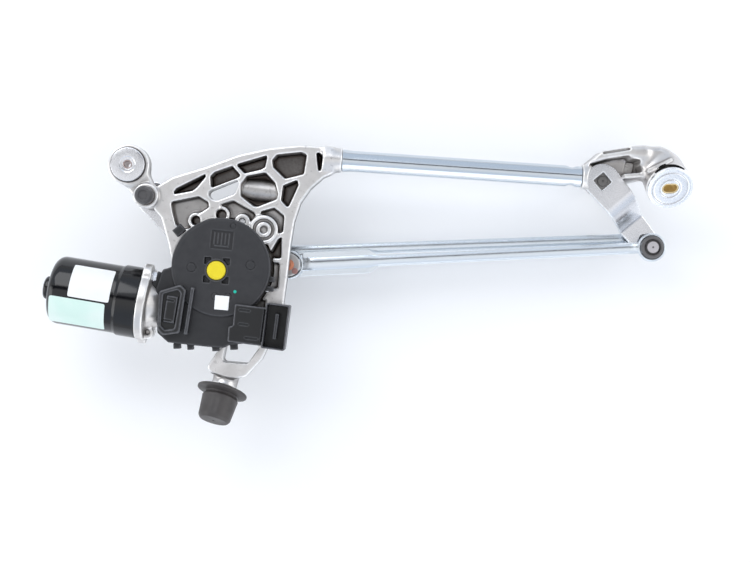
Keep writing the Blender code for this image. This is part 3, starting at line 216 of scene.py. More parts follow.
def turned(name: str, profile: Array, axes: Axes, segments: int = 96,
           relief: Optional[Callable[[Array, Array], Array]] = None) -> bpy.types.Object:
    """Return a turned piece: each profile point (radius, height) swept through a full turn.

    A point at turn t lies at (radius cos t, radius sin t, height), where relief adds to the radius.

    Args:
        name: The piece's name.
        profile: Points of radius and height, which end on the axis or form a closed loop.
        axes: The axis that it turns about.
        segments: Number of steps in the full turn.
        relief: A function of turn and height that gives what is added to the radius.

    Returns:
        The new object.
    """
    turn = np.linspace(0, 2 * math.pi, segments, endpoint=False)[None, :]
    radius, height = profile[:, :1], profile[:, 1:2] + 0 * turn
    if relief is not None:
        radius = radius + relief(turn, height) * (radius > 0)
    local = np.stack([radius * np.cos(turn), radius * np.sin(turn), height], -1)
    on_axis = profile[0, 0] < 1e-6 and profile[-1, 0] < 1e-6
    quads = grid_faces(len(profile), segments, not on_axis, True)
    return make_piece(name, axes.place(local.reshape(-1, 3)), quads)


def skinned(name: str, rings: Array) -> bpy.types.Object:
    """Return a closed piece through rings of points, with each end ring drawn in to its middle.

    Args:
        name: The piece's name.
        rings: An array of rings, each with the same number of points.

    Returns:
        The new object.
    """
    ends = [np.broadcast_to(ring.mean(0), ring.shape) for ring in (rings[0], rings[-1])]
    whole = np.concatenate([ends[0][None], rings, ends[1][None]])
    count, size = whole.shape[:2]
    return make_piece(name, whole.reshape(-1, 3), grid_faces(count, size, False, True))


def polygon_distance(points: Array, x: Array, y: Array) -> Array:
    """Return the distance in the plane from an outline, negative inside.

    It is the least distance to any side, and a place is inside where a ray from it crosses an odd
    number of sides.

    Args:
        points: The outline's points.
        x: Places along X.
        y: Places along Y.

    Returns:
        The distance at each place.
    """
    nearest = np.full(np.broadcast_shapes(x.shape, y.shape), 1e9, np.float32)
    inside = np.zeros(nearest.shape, bool)
    for (ax, ay), (bx, by) in zip(points, np.roll(points, -1, 0)):
        ex, ey = bx - ax, by - ay
        wx, wy = x - ax, y - ay
        share = np.clip((wx * ex + wy * ey) / max(ex * ex + ey * ey, 1e-9), 0, 1)
        np.minimum(nearest, (wx - ex * share) ** 2 + (wy - ey * share) ** 2, out=nearest)
        if abs(ey) > 1e-9:
            inside ^= ((ay > y) != (by > y)) & (x < ex * (y - ay) / ey + ax)
    return np.where(inside, -1, 1) * np.sqrt(nearest)


def rounded_corner(flank: Array, level: Array, edge: float = 0.0) -> Array:
    """Return the distance from the corner that two distances make, less the radius of its edge."""
    inside = np.minimum(np.maximum(flank, level), 0)
    return inside + np.hypot(np.maximum(flank, 0), np.maximum(level, 0)) - edge


def to_hexagon(turn: Array, apothem: float, corner: float) -> Array:
    """Return what takes a round head to a hexagon: the reach of a flat at each turn less the corner's."""
    flat = (turn + math.pi / 6) % (math.pi / 3) - math.pi / 6
    return apothem / np.cos(flat) - corner


class Field:
    """A solid held as signed distances on a grid, in which castings and mouldings are carved.

    Each solid is an array with the distance of every grid point from it, negative inside. Joining
    takes the lesser distance and cutting the greater of one and minus the other, both with a
    rounded change where a blend length is given.
    """

    def __init__(self, low: Point, high: Point, step: float, axes: Axes = Axes()) -> None:
        """Lay out the grid between two corners in the given axes."""
        self.low = np.asarray(low, float)
        self.step = step * 1.0
        self.axes = axes
        counts = np.ceil((np.asarray(high, float) - self.low) / self.step).astype(int) + 1
        lines = [(self.low[k] + self.step * np.arange(counts[k])).astype(np.float32) for k in range(3)]
        self.x, self.y, self.z = lines[0][:, None, None], lines[1][None, :, None], lines[2][None, None, :]
        self.value = np.full(counts, EMPTY_DISTANCE, np.float32)

    def outline(self, corners: Sequence[Point], radius: float = 0.0, steps: int = 4) -> Array:
        """Return the plan distance from an outline with rounded corners."""
        line = filleted(corners, radius, True, steps) if radius > 0 else np.asarray(corners, float)
        return polygon_distance(line, self.x, self.y).astype(np.float32)

    def circle(self, centre: Point, radius: float) -> Array:
        """Return the plan distance from a circle: the reach from its centre less its radius."""
        return np.hypot(self.x - centre[0], self.y - centre[1]) - radius

    def link(self, start: Point, end: Point, start_radius: float, end_radius: float) -> Array:
        """Return the plan distance from a link with two round ends and straight tangent sides."""
        run = np.asarray(end[:2], float) - np.asarray(start[:2], float)
        length = float(np.linalg.norm(run))
        ux, uy = run / length
        wx, wy = self.x - start[0], self.y - start[1]
        along, across = wx * ux + wy * uy, np.abs(wy * ux - wx * uy)
        lean = (start_radius - end_radius) / length
        rise = math.sqrt(1 - lean * lean)
        side = along * rise - across * lean
        flank = across * rise + along * lean - start_radius
        near = np.hypot(along, across) - start_radius
        far = np.hypot(along - length, across) - end_radius
        return np.where(side < 0, near, np.where(side > length * rise, far, flank))

    def slab(self, plan: Array, bottom: float, top: float, edge: float = 0.0, draft: float = 0.0,
             shift: Any = 0.0) -> Array:
        """Return the distance from a plate.

        Its plan and its height are both drawn in by the edge radius, and the distance from the corner
        that they make has that radius taken off again. Draft narrows the plan below the top.

        Args:
            plan: The plan distance.
            bottom: The lower face.
            top: The upper face.
            edge: The radius of its edges.
            draft: How much the plan draws in for each millimetre below the top.
            shift: What is added to both heights, a number or an array over the plan.

        Returns:
            The distance at every grid point.
        """
        z = self.z - shift
        flank = plan + edge + draft * np.maximum(top - z, 0)
        level = np.abs(z - (top + bottom) / 2) - (top - bottom) / 2 + edge
        return rounded_corner(flank, level, edge)

    def bar(self, start: Point, end: Point, radius: float, end_radius: Optional[float] = None,
            edge: float = 0.0) -> Array:
        """Return the distance from a round bar or cone between two points."""
        start, end = np.asarray(start, float), np.asarray(end, float)
        length = float(np.linalg.norm(end - start))
        ux, uy, uz = (end - start) / length
        wx, wy, wz = self.x - start[0], self.y - start[1], self.z - start[2]
        along = wx * ux + wy * uy + wz * uz
        reach = np.sqrt(np.maximum(wx * wx + wy * wy + wz * wz - along * along, 0))
        change = (radius if end_radius is None else end_radius) - radius
        flank = (reach - radius - change * np.clip(along / length, 0, 1)) + edge
        level = np.abs(along - length / 2) - length / 2 + edge
        return rounded_corner(flank, level, edge)

    def turned_box(self, centre: Point, size: Point, angle: float, bottom: float, top: float,
                   edge: float = 0.0) -> Array:
        """Return the distance from an upright box whose plan is turned about its centre."""
        cosine, sine = math.cos(angle), math.sin(angle)
        wx, wy = self.x - centre[0], self.y - centre[1]
        u = np.abs(wx * cosine + wy * sine) - size[0] / 2
        v = np.abs(wy * cosine - wx * sine) - size[1] / 2
        return self.slab(rounded_corner(u, v), bottom, top, edge)

    def add(self, *solids: Array, blend: float = 0.0) -> "Field":
        """Join solids to what is there, with a fillet of about the blend length."""
        for solid in solids:
            if blend > 0:
                soft = np.maximum(blend - np.abs(self.value - solid), 0)
                self.value = np.minimum(self.value, solid) - soft * soft / (4 * blend)
            else:
                self.value = np.minimum(self.value, solid)
        return self

    def cut(self, *solids: Array, blend: float = 0.0) -> "Field":
        """Take solids away from what is there, with its new edges rounded by about the blend length."""
        for solid in solids:
            if blend > 0:
                soft = np.maximum(blend - np.abs(self.value + solid), 0)
                self.value = np.maximum(self.value, -solid) + soft * soft / (4 * blend)
            else:
                self.value = np.maximum(self.value, -solid)
        return self

    def emboss(self, plan: Array, height: float, above: float, soft: float = 0.8) -> "Field":
        """Raise the surface by a height inside a plan, where it lies above a level."""
        share = np.clip(0.5 - plan / soft, 0, 1) * (self.z > above)
        self.value = self.value - height * share
        return self

    def sample(self, spots: Array) -> Array:
        """Return the distance at places in grid steps, blended from the eight grid points round each."""
        base = np.clip(np.floor(spots), 0, np.array(self.value.shape) - 2).astype(int)
        part = np.clip(spots - base, 0, 1)
        total = np.zeros(len(spots))
        for corner in itertools.product((0, 1), repeat=3):
            weight = np.prod(np.where(np.array(corner) == 1, part, 1 - part), axis=1)
            total += weight * self.value[tuple((base + corner).T)]
        return total

    def surface(self) -> tuple[Array, Array]:
        """Return the points and quads of the surface where the distance is nought.

        Each grid edge that the surface crosses gives a quad between the four cells round it, and each
        cell's point is the mean of its crossings, moved along the slope until its distance is nought.
        """
        inside = self.value < 0
        strides = np.array([inside.shape[1] * inside.shape[2], inside.shape[2], 1])
        cells, crossings, quads = [], [], []
        for axis in range(3):
            low = tuple(slice(0, -1) if k == axis else slice(1, -1) for k in range(3))
            high = tuple(slice(1, None) if k == axis else slice(1, -1) for k in range(3))
            found = np.argwhere(inside[low] != inside[high]) + [0 if k == axis else 1 for k in range(3)]
            ahead = found.copy()
            ahead[:, axis] += 1
            near, far = self.value[tuple(found.T)], self.value[tuple(ahead.T)]
            spot = found.astype(float)
            spot[:, axis] += near / (near - far)
            u, w = strides[(axis + 1) % 3], strides[(axis + 2) % 3]
            around = (found @ strides)[:, None] - np.array([0, u, u + w, w])[None, :]
            quads.append(np.where((near > 0)[:, None], around[:, ::-1], around))
            cells.append(around.ravel())
            crossings.append(np.repeat(spot, 4, axis=0))
        ids, index = np.unique(np.concatenate(cells), return_inverse=True)
        crossings = np.concatenate(crossings)
        weight = np.bincount(index)
        spots = np.stack([np.bincount(index, crossings[:, k]) / weight for k in range(3)], -1)
        for _ in range(2):
            spots -= np.clip(self.sample(spots)[:, None] * self.slope(spots) / self.step, -0.4, 0.4)
        return spots, np.searchsorted(ids, np.concatenate(quads))

    def slope(self, spots: Array) -> Array:
        """Return the direction in which the distance grows, as vectors of length one."""
        steps = np.eye(3) * 0.5
        slope = np.stack([self.sample(spots + s) - self.sample(spots - s) for s in steps], -1)
        return slope / np.maximum(np.linalg.norm(slope, axis=1), 1e-6)[:, None]

    def bend_at(self, spots: Array, reach: float = 1.5) -> Array:
        """Return how far the surface stands out: the mean distance all round, less that at the place."""
        steps = np.eye(3) * reach / self.step
        around = sum(self.sample(spots + s) + self.sample(spots - s) for s in steps)
        return (around - 6 * self.sample(spots)) / reach

    def piece(self, name: str, share: float = 1.0) -> bpy.types.Object:
        """Return the carved solid as an object, with its edges and hollows marked for wear, painted highlight
        and painted shade.

        Args:
            name: The piece's name.
            share: The share of its faces that is kept, so that flat places take fewer.

        Returns:
            The new object, with the point attribute edge.
        """
        spots, quads = self.surface()
        piece = make_piece(name, self.axes.place(self.low + spots * self.step), quads, tidy=False)
        if share < 1:
            thin = piece.modifiers.new("thin", "DECIMATE")
            thin.ratio = share
            graph = bpy.context.evaluated_depsgraph_get()
            mesh = bpy.data.meshes.new_from_object(piece.evaluated_get(graph))
            piece.modifiers.clear()
            piece.data = mesh
            mesh.name = name
        mesh = piece.data
        points = np.zeros(len(mesh.vertices) * 3, np.float32)
        mesh.vertices.foreach_get("co", points)
        local = (self.axes.local(points.reshape(-1, 3) / MM) - self.low) / self.step
        mark = mesh.attributes.new("edge", "FLOAT", "POINT")
        mark.data.foreach_set("value", self.bend_at(local).astype(np.float32))
        return piece


def node(tree: bpy.types.NodeTree, kind: str, inputs: Optional[dict] = None,
         **settings: Any) -> bpy.types.Node:
    """Add a shader node, set it up and fill its inputs.

    Args:
        tree: The node tree.
        kind: The node's type name.
        inputs: Input names or numbers, each with a value or with the socket that feeds it.
        **settings: Attributes of the node.

    Returns:
        The new node.
    """
    made = tree.nodes.new(kind)
    for key, value in settings.items():
        setattr(made, key, value)
    for key, value in (inputs or {}).items():
        if isinstance(value, bpy.types.NodeSocket):
            tree.links.new(value, made.inputs[key])
        else:
            made.inputs[key].default_value = value
    return made


def math_node(tree: bpy.types.NodeTree, operation: str, first: Any, second: Any = 0.0,
              clamp: bool = False) -> bpy.types.NodeSocket:
    """Return the output of a Math node on two values or sockets."""
    return node(tree, "ShaderNodeMath", {0: first, 1: second}, operation=operation,
                use_clamp=clamp).outputs[0]


def blend_node(tree: bpy.types.NodeTree, share: Any, first: Any, second: Any) -> bpy.types.NodeSocket:
    """Return the output of a colour mix from the first to the second by a share."""
    made = node(tree, "ShaderNodeMix", {0: share, 6: first, 7: second}, data_type="RGBA")
    return made.outputs[2]


def ramp_node(tree: bpy.types.NodeTree, value: Any, low: float, high: float, out_low: float = 0.0,
              out_high: float = 1.0) -> bpy.types.NodeSocket:
    """Return a value mapped evenly, and clamped, from one range to another."""
    made = node(tree, "ShaderNodeMapRange", {0: value, 1: low, 2: high, 3: out_low, 4: out_high}, clamp=True)
    return made.outputs[0]


def new_group(name: str, inputs: dict[str, float], outputs: Sequence[str]) -> tuple:
    """Return a new shader group with number sockets, and its input and output nodes."""
    tree = bpy.data.node_groups.new(name, "ShaderNodeTree")
    for label, value in inputs.items():
        tree.interface.new_socket(label, in_out="INPUT", socket_type="NodeSocketFloat").default_value = value
    for label in outputs:
        tree.interface.new_socket(label, in_out="OUTPUT", socket_type="NodeSocketFloat")
    return tree, node(tree, "NodeGroupInput"), node(tree, "NodeGroupOutput")


def grain_group() -> bpy.types.NodeTree:
    """Return the grain: fine and broad noise and specks on Object coordinates, which can be stretched."""
    tree, given, out = new_group("metal grain", {"Scale": 900.0, "Stretch": 1.0, "Turn": 0.0},
                                 ("Fine", "Broad", "Specks"))
    place = node(tree, "ShaderNodeTexCoord").outputs["Object"]
    spin = node(tree, "ShaderNodeVectorRotate", {"Vector": place, "Angle": given.outputs["Turn"]},
                rotation_type="Z_AXIS")
    stretch = node(tree, "ShaderNodeCombineXYZ", {0: given.outputs["Stretch"], 1: 1.0, 2: 1.0})
    drawn = node(tree, "ShaderNodeVectorMath", {0: spin.outputs[0], 1: stretch.outputs[0]},
                 operation="MULTIPLY")
    fine = node(tree, "ShaderNodeTexNoise", {"Vector": drawn.outputs[0], "Scale": given.outputs["Scale"],
                                             "Detail": 4.0, "Roughness": 0.6})
    wide = math_node(tree, "MULTIPLY", given.outputs["Scale"], 0.05)
    broad = node(tree, "ShaderNodeTexNoise", {"Vector": drawn.outputs[0], "Scale": wide, "Detail": 3.0})
    spots = node(tree, "ShaderNodeTexNoise", {"Vector": place, "Scale": 260.0, "Detail": 1.0})
    tree.links.new(fine.outputs[0], out.inputs["Fine"])
    tree.links.new(broad.outputs[0], out.inputs["Broad"])
    tree.links.new(ramp_node(tree, spots.outputs[0], 0.66, 0.72), out.inputs["Specks"])
    return tree


def edge_and_hollow_shade_group() -> bpy.types.NodeTree:
    """Return masks from the point attribute edge: edges, broken up by noise, for rubbed wear and painted
    highlight, and hollows for painted shade.
    """
    tree, given, out = new_group("edges and hollows", {"Reach": 1.0}, ("Edge Wear And Highlight", "Hollow Shade"))
    mark = node(tree, "ShaderNodeAttribute", attribute_name="edge")
    place = node(tree, "ShaderNodeTexCoord").outputs["Object"]
    noise = node(tree, "ShaderNodeTexNoise", {"Vector": place, "Scale": 350.0, "Detail": 3.0})
    broken = ramp_node(tree, noise.outputs[0], 0.3, 0.7, 0.5, 1.0)
    bend = math_node(tree, "MULTIPLY", mark.outputs["Fac"], given.outputs["Reach"])
    tree.links.new(math_node(tree, "MULTIPLY", ramp_node(tree, bend, 0.12, 0.9), broken), out.inputs["Edge Wear And Highlight"])
    tree.links.new(ramp_node(tree, bend, -0.08, -0.8), out.inputs["Hollow Shade"])
    return tree


def depth_shade_group() -> bpy.types.NodeTree:
    """Return the share of the way down from one height to another, on Object coordinates, which sets the
    painted shade that grows lower down.
    """
    tree, given, out = new_group("depth", {"Top": 0.008, "Bottom": -0.01}, ("Depth Shade",))
    place = node(tree, "ShaderNodeSeparateXYZ", {0: node(tree, "ShaderNodeTexCoord").outputs["Object"]})
    made = node(tree, "ShaderNodeMapRange", {0: place.outputs[2], 1: given.outputs["Top"],
                                             2: given.outputs["Bottom"]}, clamp=True)
    tree.links.new(made.outputs[0], out.inputs["Depth Shade"])
    return tree


GROUPS = {"grain": grain_group(), "edges": edge_and_hollow_shade_group(), "depth": depth_shade_group()}


@dataclass(frozen=True)
class Finish:
    """A surface finish: base and broad colours, a worn colour for rubbed wear and painted highlight on edges,
    a deep colour for painted shade in the depth and in hollows, gloss and grain.

    Colours are linear. The grain's size is its noise scale in a metre, the stretch draws it out along a
    line turned by an angle, and the bump is its height in millimetres.
    """

    name: str
    slot: Slot
    colour: Point
    broad: Point
    # worn: the edge colour, for rubbed wear and painted highlight on convex edges
    worn: Point
    # deep: the colour of painted shade in the depth and in hollows, which specks also take
    deep: Point
    metallic: float = 0.0
    roughness: tuple = (0.35, 0.55)
    coat: float = 0.0
    grain: float = 1200.0
    stretch: float = 1.0
    turn: float = 0.0
    bump: float = 0.02
    # top and bottom: the heights between which the painted shade grows downwards
    top: float = 0.05
    bottom: float = -0.5
    depth_shade_share: float = 0.0
    specks: float = 0.0
    hollow_shade: float = 0.6

    def material(self) -> bpy.types.Material:
        """Return the finish as a material, made once for all its pieces."""
        ready = bpy.data.materials.get(self.name)
        if ready is not None:
            return ready
        material = bpy.data.materials.new(self.name)
        material.use_nodes = True
        tree = material.node_tree
        shader = tree.nodes["Principled BSDF"]
        grain = node(tree, "ShaderNodeGroup", node_tree=GROUPS["grain"])
        for label, value in (("Scale", self.grain), ("Stretch", self.stretch), ("Turn", self.turn)):
            grain.inputs[label].default_value = value
        edges = node(tree, "ShaderNodeGroup", node_tree=GROUPS["edges"])
        depth = node(tree, "ShaderNodeGroup", node_tree=GROUPS["depth"])
        depth.inputs["Top"].default_value = self.top
        depth.inputs["Bottom"].default_value = self.bottom
        fine, broad = grain.outputs["Fine"], grain.outputs["Broad"]
        colour = blend_node(tree, ramp_node(tree, broad, 0.35, 0.65), (*self.colour, 1.0), (*self.broad, 1.0))
        # Painted shade: the colour goes towards the deep colour lower down and in hollows.
        dark = math_node(tree, "MULTIPLY", depth.outputs["Depth Shade"], self.depth_shade_share)
        dark = math_node(tree, "ADD", dark,
                         math_node(tree, "MULTIPLY", edges.outputs["Hollow Shade"], self.hollow_shade), True)
        colour = blend_node(tree, dark, colour, (*self.deep, 1.0))
        # Rubbed wear and painted highlight: convex edges go towards the worn colour.
        colour = blend_node(tree, edges.outputs["Edge Wear And Highlight"], colour, (*self.worn, 1.0))
        if self.specks > 0:
            share = math_node(tree, "MULTIPLY", grain.outputs["Specks"], self.specks)
            colour = blend_node(tree, share, colour, (*self.deep, 1.0))
        tree.links.new(colour, shader.inputs["Base Color"])
        rough = ramp_node(tree, math_node(tree, "ADD", fine, broad), 0.7, 1.3, *self.roughness)
        tree.links.new(rough, shader.inputs["Roughness"])
        shader.inputs["Metallic"].default_value = self.metallic
        shader.inputs["Coat Weight"].default_value = self.coat
        shader.inputs["Coat Roughness"].default_value = 0.08
        bump = node(tree, "ShaderNodeBump", {"Height": fine, "Strength": 0.6, "Distance": self.bump * MM})
        tree.links.new(bump.outputs[0], shader.inputs["Normal"])
        return material


TUBE_ANGLE = math.atan2(-15.5, 226.5)
# Painted shade on the cast finishes: pockets and lower parts darken towards the deep colour below the top
# height, and hollows do too.
CAST = Finish("blasted die cast aluminium", Slot.CAST, (0.72, 0.705, 0.70), (0.60, 0.585, 0.575),
              (0.93, 0.925, 0.92), (0.050, 0.040, 0.035), 0.9, (0.26, 0.44), grain=1500, bump=0.012,
              top=0.0055,
              bottom=-0.0075, depth_shade_share=0.90, specks=0.20, hollow_shade=0.5)
# Here the painted shade reaches down to the sleeves' lower ends.
CAST_SMOOTH = Finish("smooth die cast aluminium", Slot.CAST, (0.70, 0.68, 0.665), (0.62, 0.60, 0.585),
                     (0.90, 0.89, 0.87), (0.12, 0.10, 0.095), 0.88, (0.28, 0.42), grain=1300, bump=0.01,
                     top=0.004,
                     bottom=-0.03, depth_shade_share=0.45, specks=0.12, hollow_shade=0.55)
ZINC = Finish("bright zinc plate", Slot.ZINC, (0.80, 0.80, 0.825), (0.72, 0.73, 0.76), (0.95, 0.96, 0.97),
              (0.25, 0.26, 0.28), 0.95, (0.20, 0.32), grain=500, bump=0.0012, hollow_shade=0.4)
ROD_ZINC = Finish("bright zinc strip", Slot.ZINC, (0.76, 0.81, 0.86), (0.66, 0.72, 0.78), (0.95, 0.97, 0.98),
                  (0.16, 0.18, 0.20), 0.95, (0.16, 0.30), grain=700, stretch=0.05, bump=0.0015, hollow_shade=0.6)
TUBE = Finish("zinc plated drawn tube", Slot.TUBE, (0.70, 0.74, 0.78), (0.60, 0.65, 0.70), (0.9, 0.92, 0.94),
              (0.2, 0.22, 0.24), 1.0, (0.12, 0.20), grain=700, stretch=0.04, turn=-TUBE_ANGLE, bump=0.0012)
DARK_STEEL = Finish("oiled grey steel", Slot.DARK_STEEL, (0.50, 0.485, 0.48), (0.44, 0.425, 0.42),
                    (0.65, 0.64, 0.63), (0.08, 0.07, 0.065), 0.85, (0.30, 0.45), grain=1000, bump=0.004)
TURNED = Finish("turned steel", Slot.TURNED, (0.24, 0.235, 0.23), (0.18, 0.175, 0.17), (0.5, 0.5, 0.5),
                (0.12, 0.11, 0.1), 0.95, (0.22, 0.36), grain=1400, bump=0.003)
RUBBER = Finish("moulded rubber", Slot.RUBBER, (0.060, 0.054, 0.052), (0.046, 0.041, 0.040),
                (0.075, 0.066, 0.060), (0.008, 0.007, 0.006), 0.0, (0.42, 0.60), grain=1700, bump=0.012)
PAINT = Finish("gloss black paint", Slot.PAINT, (0.003, 0.003, 0.004), (0.005, 0.005, 0.006),
               (0.02, 0.02, 0.022), (0.002, 0.002, 0.002), 0.0, (0.10, 0.16), grain=500, bump=0.002)
# Painted shade on the cover: its lower levels and recess floors darken below its top face.
MOULDING = Finish("grained black moulding", Slot.MOULDING, (0.022, 0.022, 0.025), (0.018, 0.018, 0.021),
                  (0.055, 0.055, 0.060), (0.004, 0.004, 0.005), 0.0, (0.50, 0.62), grain=2600, bump=0.008,
                  top=0.0256, bottom=0.0240, depth_shade_share=0.60)
GLOSS_MOULDING = Finish("smooth black moulding", Slot.MOULDING, (0.0045, 0.0045, 0.0055),
                        (0.0035, 0.0035, 0.004),
                        (0.10, 0.10, 0.11), (0.002, 0.002, 0.002), 0.0, (0.34, 0.46), grain=1500, bump=0.003)
CAP_PLASTIC = Finish("dark grey cap moulding", Slot.MOULDING, (0.075, 0.072, 0.074), (0.062, 0.060, 0.062),
                     (0.16, 0.155, 0.16), (0.02, 0.02, 0.02), 0.0, (0.4, 0.55), grain=1800, bump=0.006)
ACETAL = Finish("grey acetal", Slot.GREY_PLASTIC, (0.115, 0.11, 0.11), (0.10, 0.095, 0.095),
                (0.34, 0.33, 0.33), (0.025, 0.025, 0.025), 0.0, (0.35, 0.5), grain=1500, bump=0.004)
BUTTON = Finish("pale acetal", Slot.GREY_PLASTIC, (0.46, 0.44, 0.45), (0.42, 0.40, 0.41), (0.6, 0.58, 0.59),
                (0.12, 0.12, 0.12), 0.0, (0.35, 0.5), grain=1500, bump=0.004)
YELLOW = Finish("yellow plug moulding", Slot.YELLOW, (0.80, 0.66, 0.012), (0.74, 0.59, 0.01),
                (0.95, 0.85, 0.15), (0.55, 0.38, 0.0), 0.0, (0.34, 0.46), grain=1300, bump=0.01)
BRONZE = Finish("sintered bronze", Slot.BRONZE, (0.46, 0.27, 0.13), (0.36, 0.2, 0.1), (0.7, 0.45, 0.25),
                (0.1, 0.05, 0.02), 0.9, (0.35, 0.5), grain=2000, bump=0.02, specks=0.4)
COPPER = Finish("copper flashed rivet", Slot.BRONZE, (0.62, 0.25, 0.14), (0.50, 0.19, 0.11),
                (0.80, 0.5, 0.36),
                (0.15, 0.05, 0.03), 0.6, (0.35, 0.5), grain=1300, bump=0.01, specks=0.3)
LINER = Finish("tinted steel liner", Slot.ZINC, (0.52, 0.42, 0.40), (0.45, 0.36, 0.34), (0.7, 0.6, 0.58),
               (0.15, 0.1, 0.1), 0.8, (0.3, 0.45), grain=1000, bump=0.003)
GOLD = Finish("yellow chromate plate", Slot.ZINC, (0.72, 0.53, 0.22), (0.62, 0.44, 0.18), (0.9, 0.75, 0.45),
              (0.3, 0.2, 0.08), 0.9, (0.28, 0.4), grain=1000, bump=0.01)
NYLON = Finish("natural nylon", Slot.NYLON, (0.72, 0.68, 0.58), (0.68, 0.64, 0.54), (0.8, 0.78, 0.7),
               (0.3, 0.28, 0.22), 0.0, (0.4, 0.5), grain=1300, bump=0.01)
MAGNET = Finish("sintered ferrite", Slot.MAGNET, (0.09, 0.09, 0.09), (0.07, 0.07, 0.07), (0.16, 0.16, 0.16),
                (0.03, 0.03, 0.03), 0.2, (0.5, 0.7), grain=1600, bump=0.03)
WINDING = Finish("wound copper", Slot.COPPER, (0.70, 0.31, 0.16), (0.55, 0.22, 0.1), (0.85, 0.5, 0.3),
                 (0.2, 0.08, 0.04), 0.9, (0.3, 0.45), grain=900, bump=0.02)
TINNED = Finish("tinned terminal", Slot.COPPER, (0.68, 0.67, 0.64), (0.6, 0.59, 0.56), (0.85, 0.85, 0.82),
                (0.25, 0.24, 0.22), 0.95, (0.25, 0.35), grain=900, bump=0.005)
LABEL = Finish("white label film", Slot.PAINT, (0.86, 0.87, 0.87), (0.82, 0.83, 0.83), (0.9, 0.9, 0.9),
               (0.6, 0.6, 0.6), 0.0, (0.3, 0.42), grain=700, bump=0.004)
GREEN_LABEL = Finish("pale green label film", Slot.PAINT, (0.62, 0.80, 0.73), (0.82, 0.86, 0.84),
                     (0.9, 0.9, 0.9), (0.5, 0.6, 0.55), 0.0, (0.3, 0.42), grain=300, bump=0.004)
TEAL_PAINT = Finish("teal paint dot", Slot.MOULDING, (0.0, 0.45, 0.33), (0.0, 0.4, 0.3), (0.1, 0.6, 0.5),
                    (0.0, 0.2, 0.15), 0.0, (0.3, 0.45), grain=900, bump=0.01)
RED_PAINT = Finish("worn paint mark", Slot.DARK_STEEL, (0.42, 0.22, 0.20), (0.36, 0.22, 0.20),
                   (0.5, 0.3, 0.28),
                   (0.2, 0.08, 0.07), 0.2, (0.3, 0.45), grain=900, bump=0.004)


def dress(piece: bpy.types.Object, finish: Finish, body: Body, *replaced: str) -> bpy.types.Object:
    """Give a new piece its finish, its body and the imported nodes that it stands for.

    Args:
        piece: The finished piece, in place.
        finish: Its finish.
        body: The body that it rides on.
        *replaced: The nodes that it stands for.

    Returns:
        The piece.
    """
    piece.data.materials.append(finish.material())
    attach(piece, body.value)
    if replaced:
        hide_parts(*replaced)
    LOG.info("%s: %d faces, %s", piece.name, len(piece.data.polygons), finish.name)
    return piece


def dress_node(name: str, finish: Finish) -> None:
    """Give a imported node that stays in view, or inside, its finish."""
    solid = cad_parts[name]
    solid.data.materials.clear()
    solid.data.materials.append(finish.material())


def polar(centre: Point, length: float, angle: float) -> tuple[float, float]:
    """Return the point at a length and an angle from a centre."""
    return centre[0] + length * math.cos(angle), centre[1] + length * math.sin(angle)


@dataclass(frozen=True)
class Layout:
    """The places that the sub-assemblies share, as in the solids."""

    left_bush: Point = (0.0, 0.0)
    driver: Point = (17.0, -29.5)
    passenger: Point = (451.0, -14.2)
    output: Point = (89.3, -96.9)
    right_bush: Point = (509.5, -12.0, -5.0)
    bush_tilt: Point = (0.06, -0.55, 0.83)
    foot: Point = (88.5, -211.5, -2.0)
    foot_ahead: Point = (-0.24, -0.90, 0.36)
    tube_left: Point = (202.0, 4.5, 0.0)
    tube_right: Point = (428.5, -11.0, 0.0)
    lever: float = 81.6
    inner_lever: float = 70.2
    park: float = math.radians(-50.2)
    crank: float = 60.0
    motor_turn: float = math.radians(-9.5)
    motor_offset: float = 46.0
    motor_z: float = 8.0
    crank_top: float = -22.6
    plate: float = 4.0

    @property
    def outer_ball(self) -> tuple[float, float]:
        """The ball at the passenger lever's tip."""
        return polar(self.passenger, self.lever, self.park)

    @property
    def inner_ball(self) -> tuple[float, float]:
        """The ball further up the passenger lever."""
        return polar(self.passenger, self.inner_lever, self.park)

    @property
    def driver_ball(self) -> tuple[float, float]:
        """The ball at the driver lever's tip."""
        return polar(self.driver, self.inner_lever, self.park)

    @property
    def crank_ball(self) -> tuple[float, float]:
        """The ball under the crank's tip, in line with the drive rod."""
        ball = self.outer_ball
        return polar(self.output, self.crank, math.atan2(ball[1] - self.output[1], ball[0] - self.output[0]))

    def motor_point(self, along: float, side: float = 0.0, rise: float = 0.0) -> Array:
        """Return a point along the worm's axis from its foot below the output shaft."""
        cosine, sine = math.cos(self.motor_turn), math.sin(self.motor_turn)
        side -= self.motor_offset
        return np.array([self.output[0] + along * cosine - side * sine,
                         self.output[1] + along * sine + side * cosine, self.motor_z + rise])

    def motor_axes(self, along: float) -> Axes:
        """Return axes on the motor's shaft, with local Z away from the gears and local Y up."""
        away = (-math.cos(self.motor_turn), -math.sin(self.motor_turn), 0.0)
        return Axes(self.motor_point(along), away, tuple(np.cross((0.0, 0.0, 1.0), away)))


PLACE = Layout()


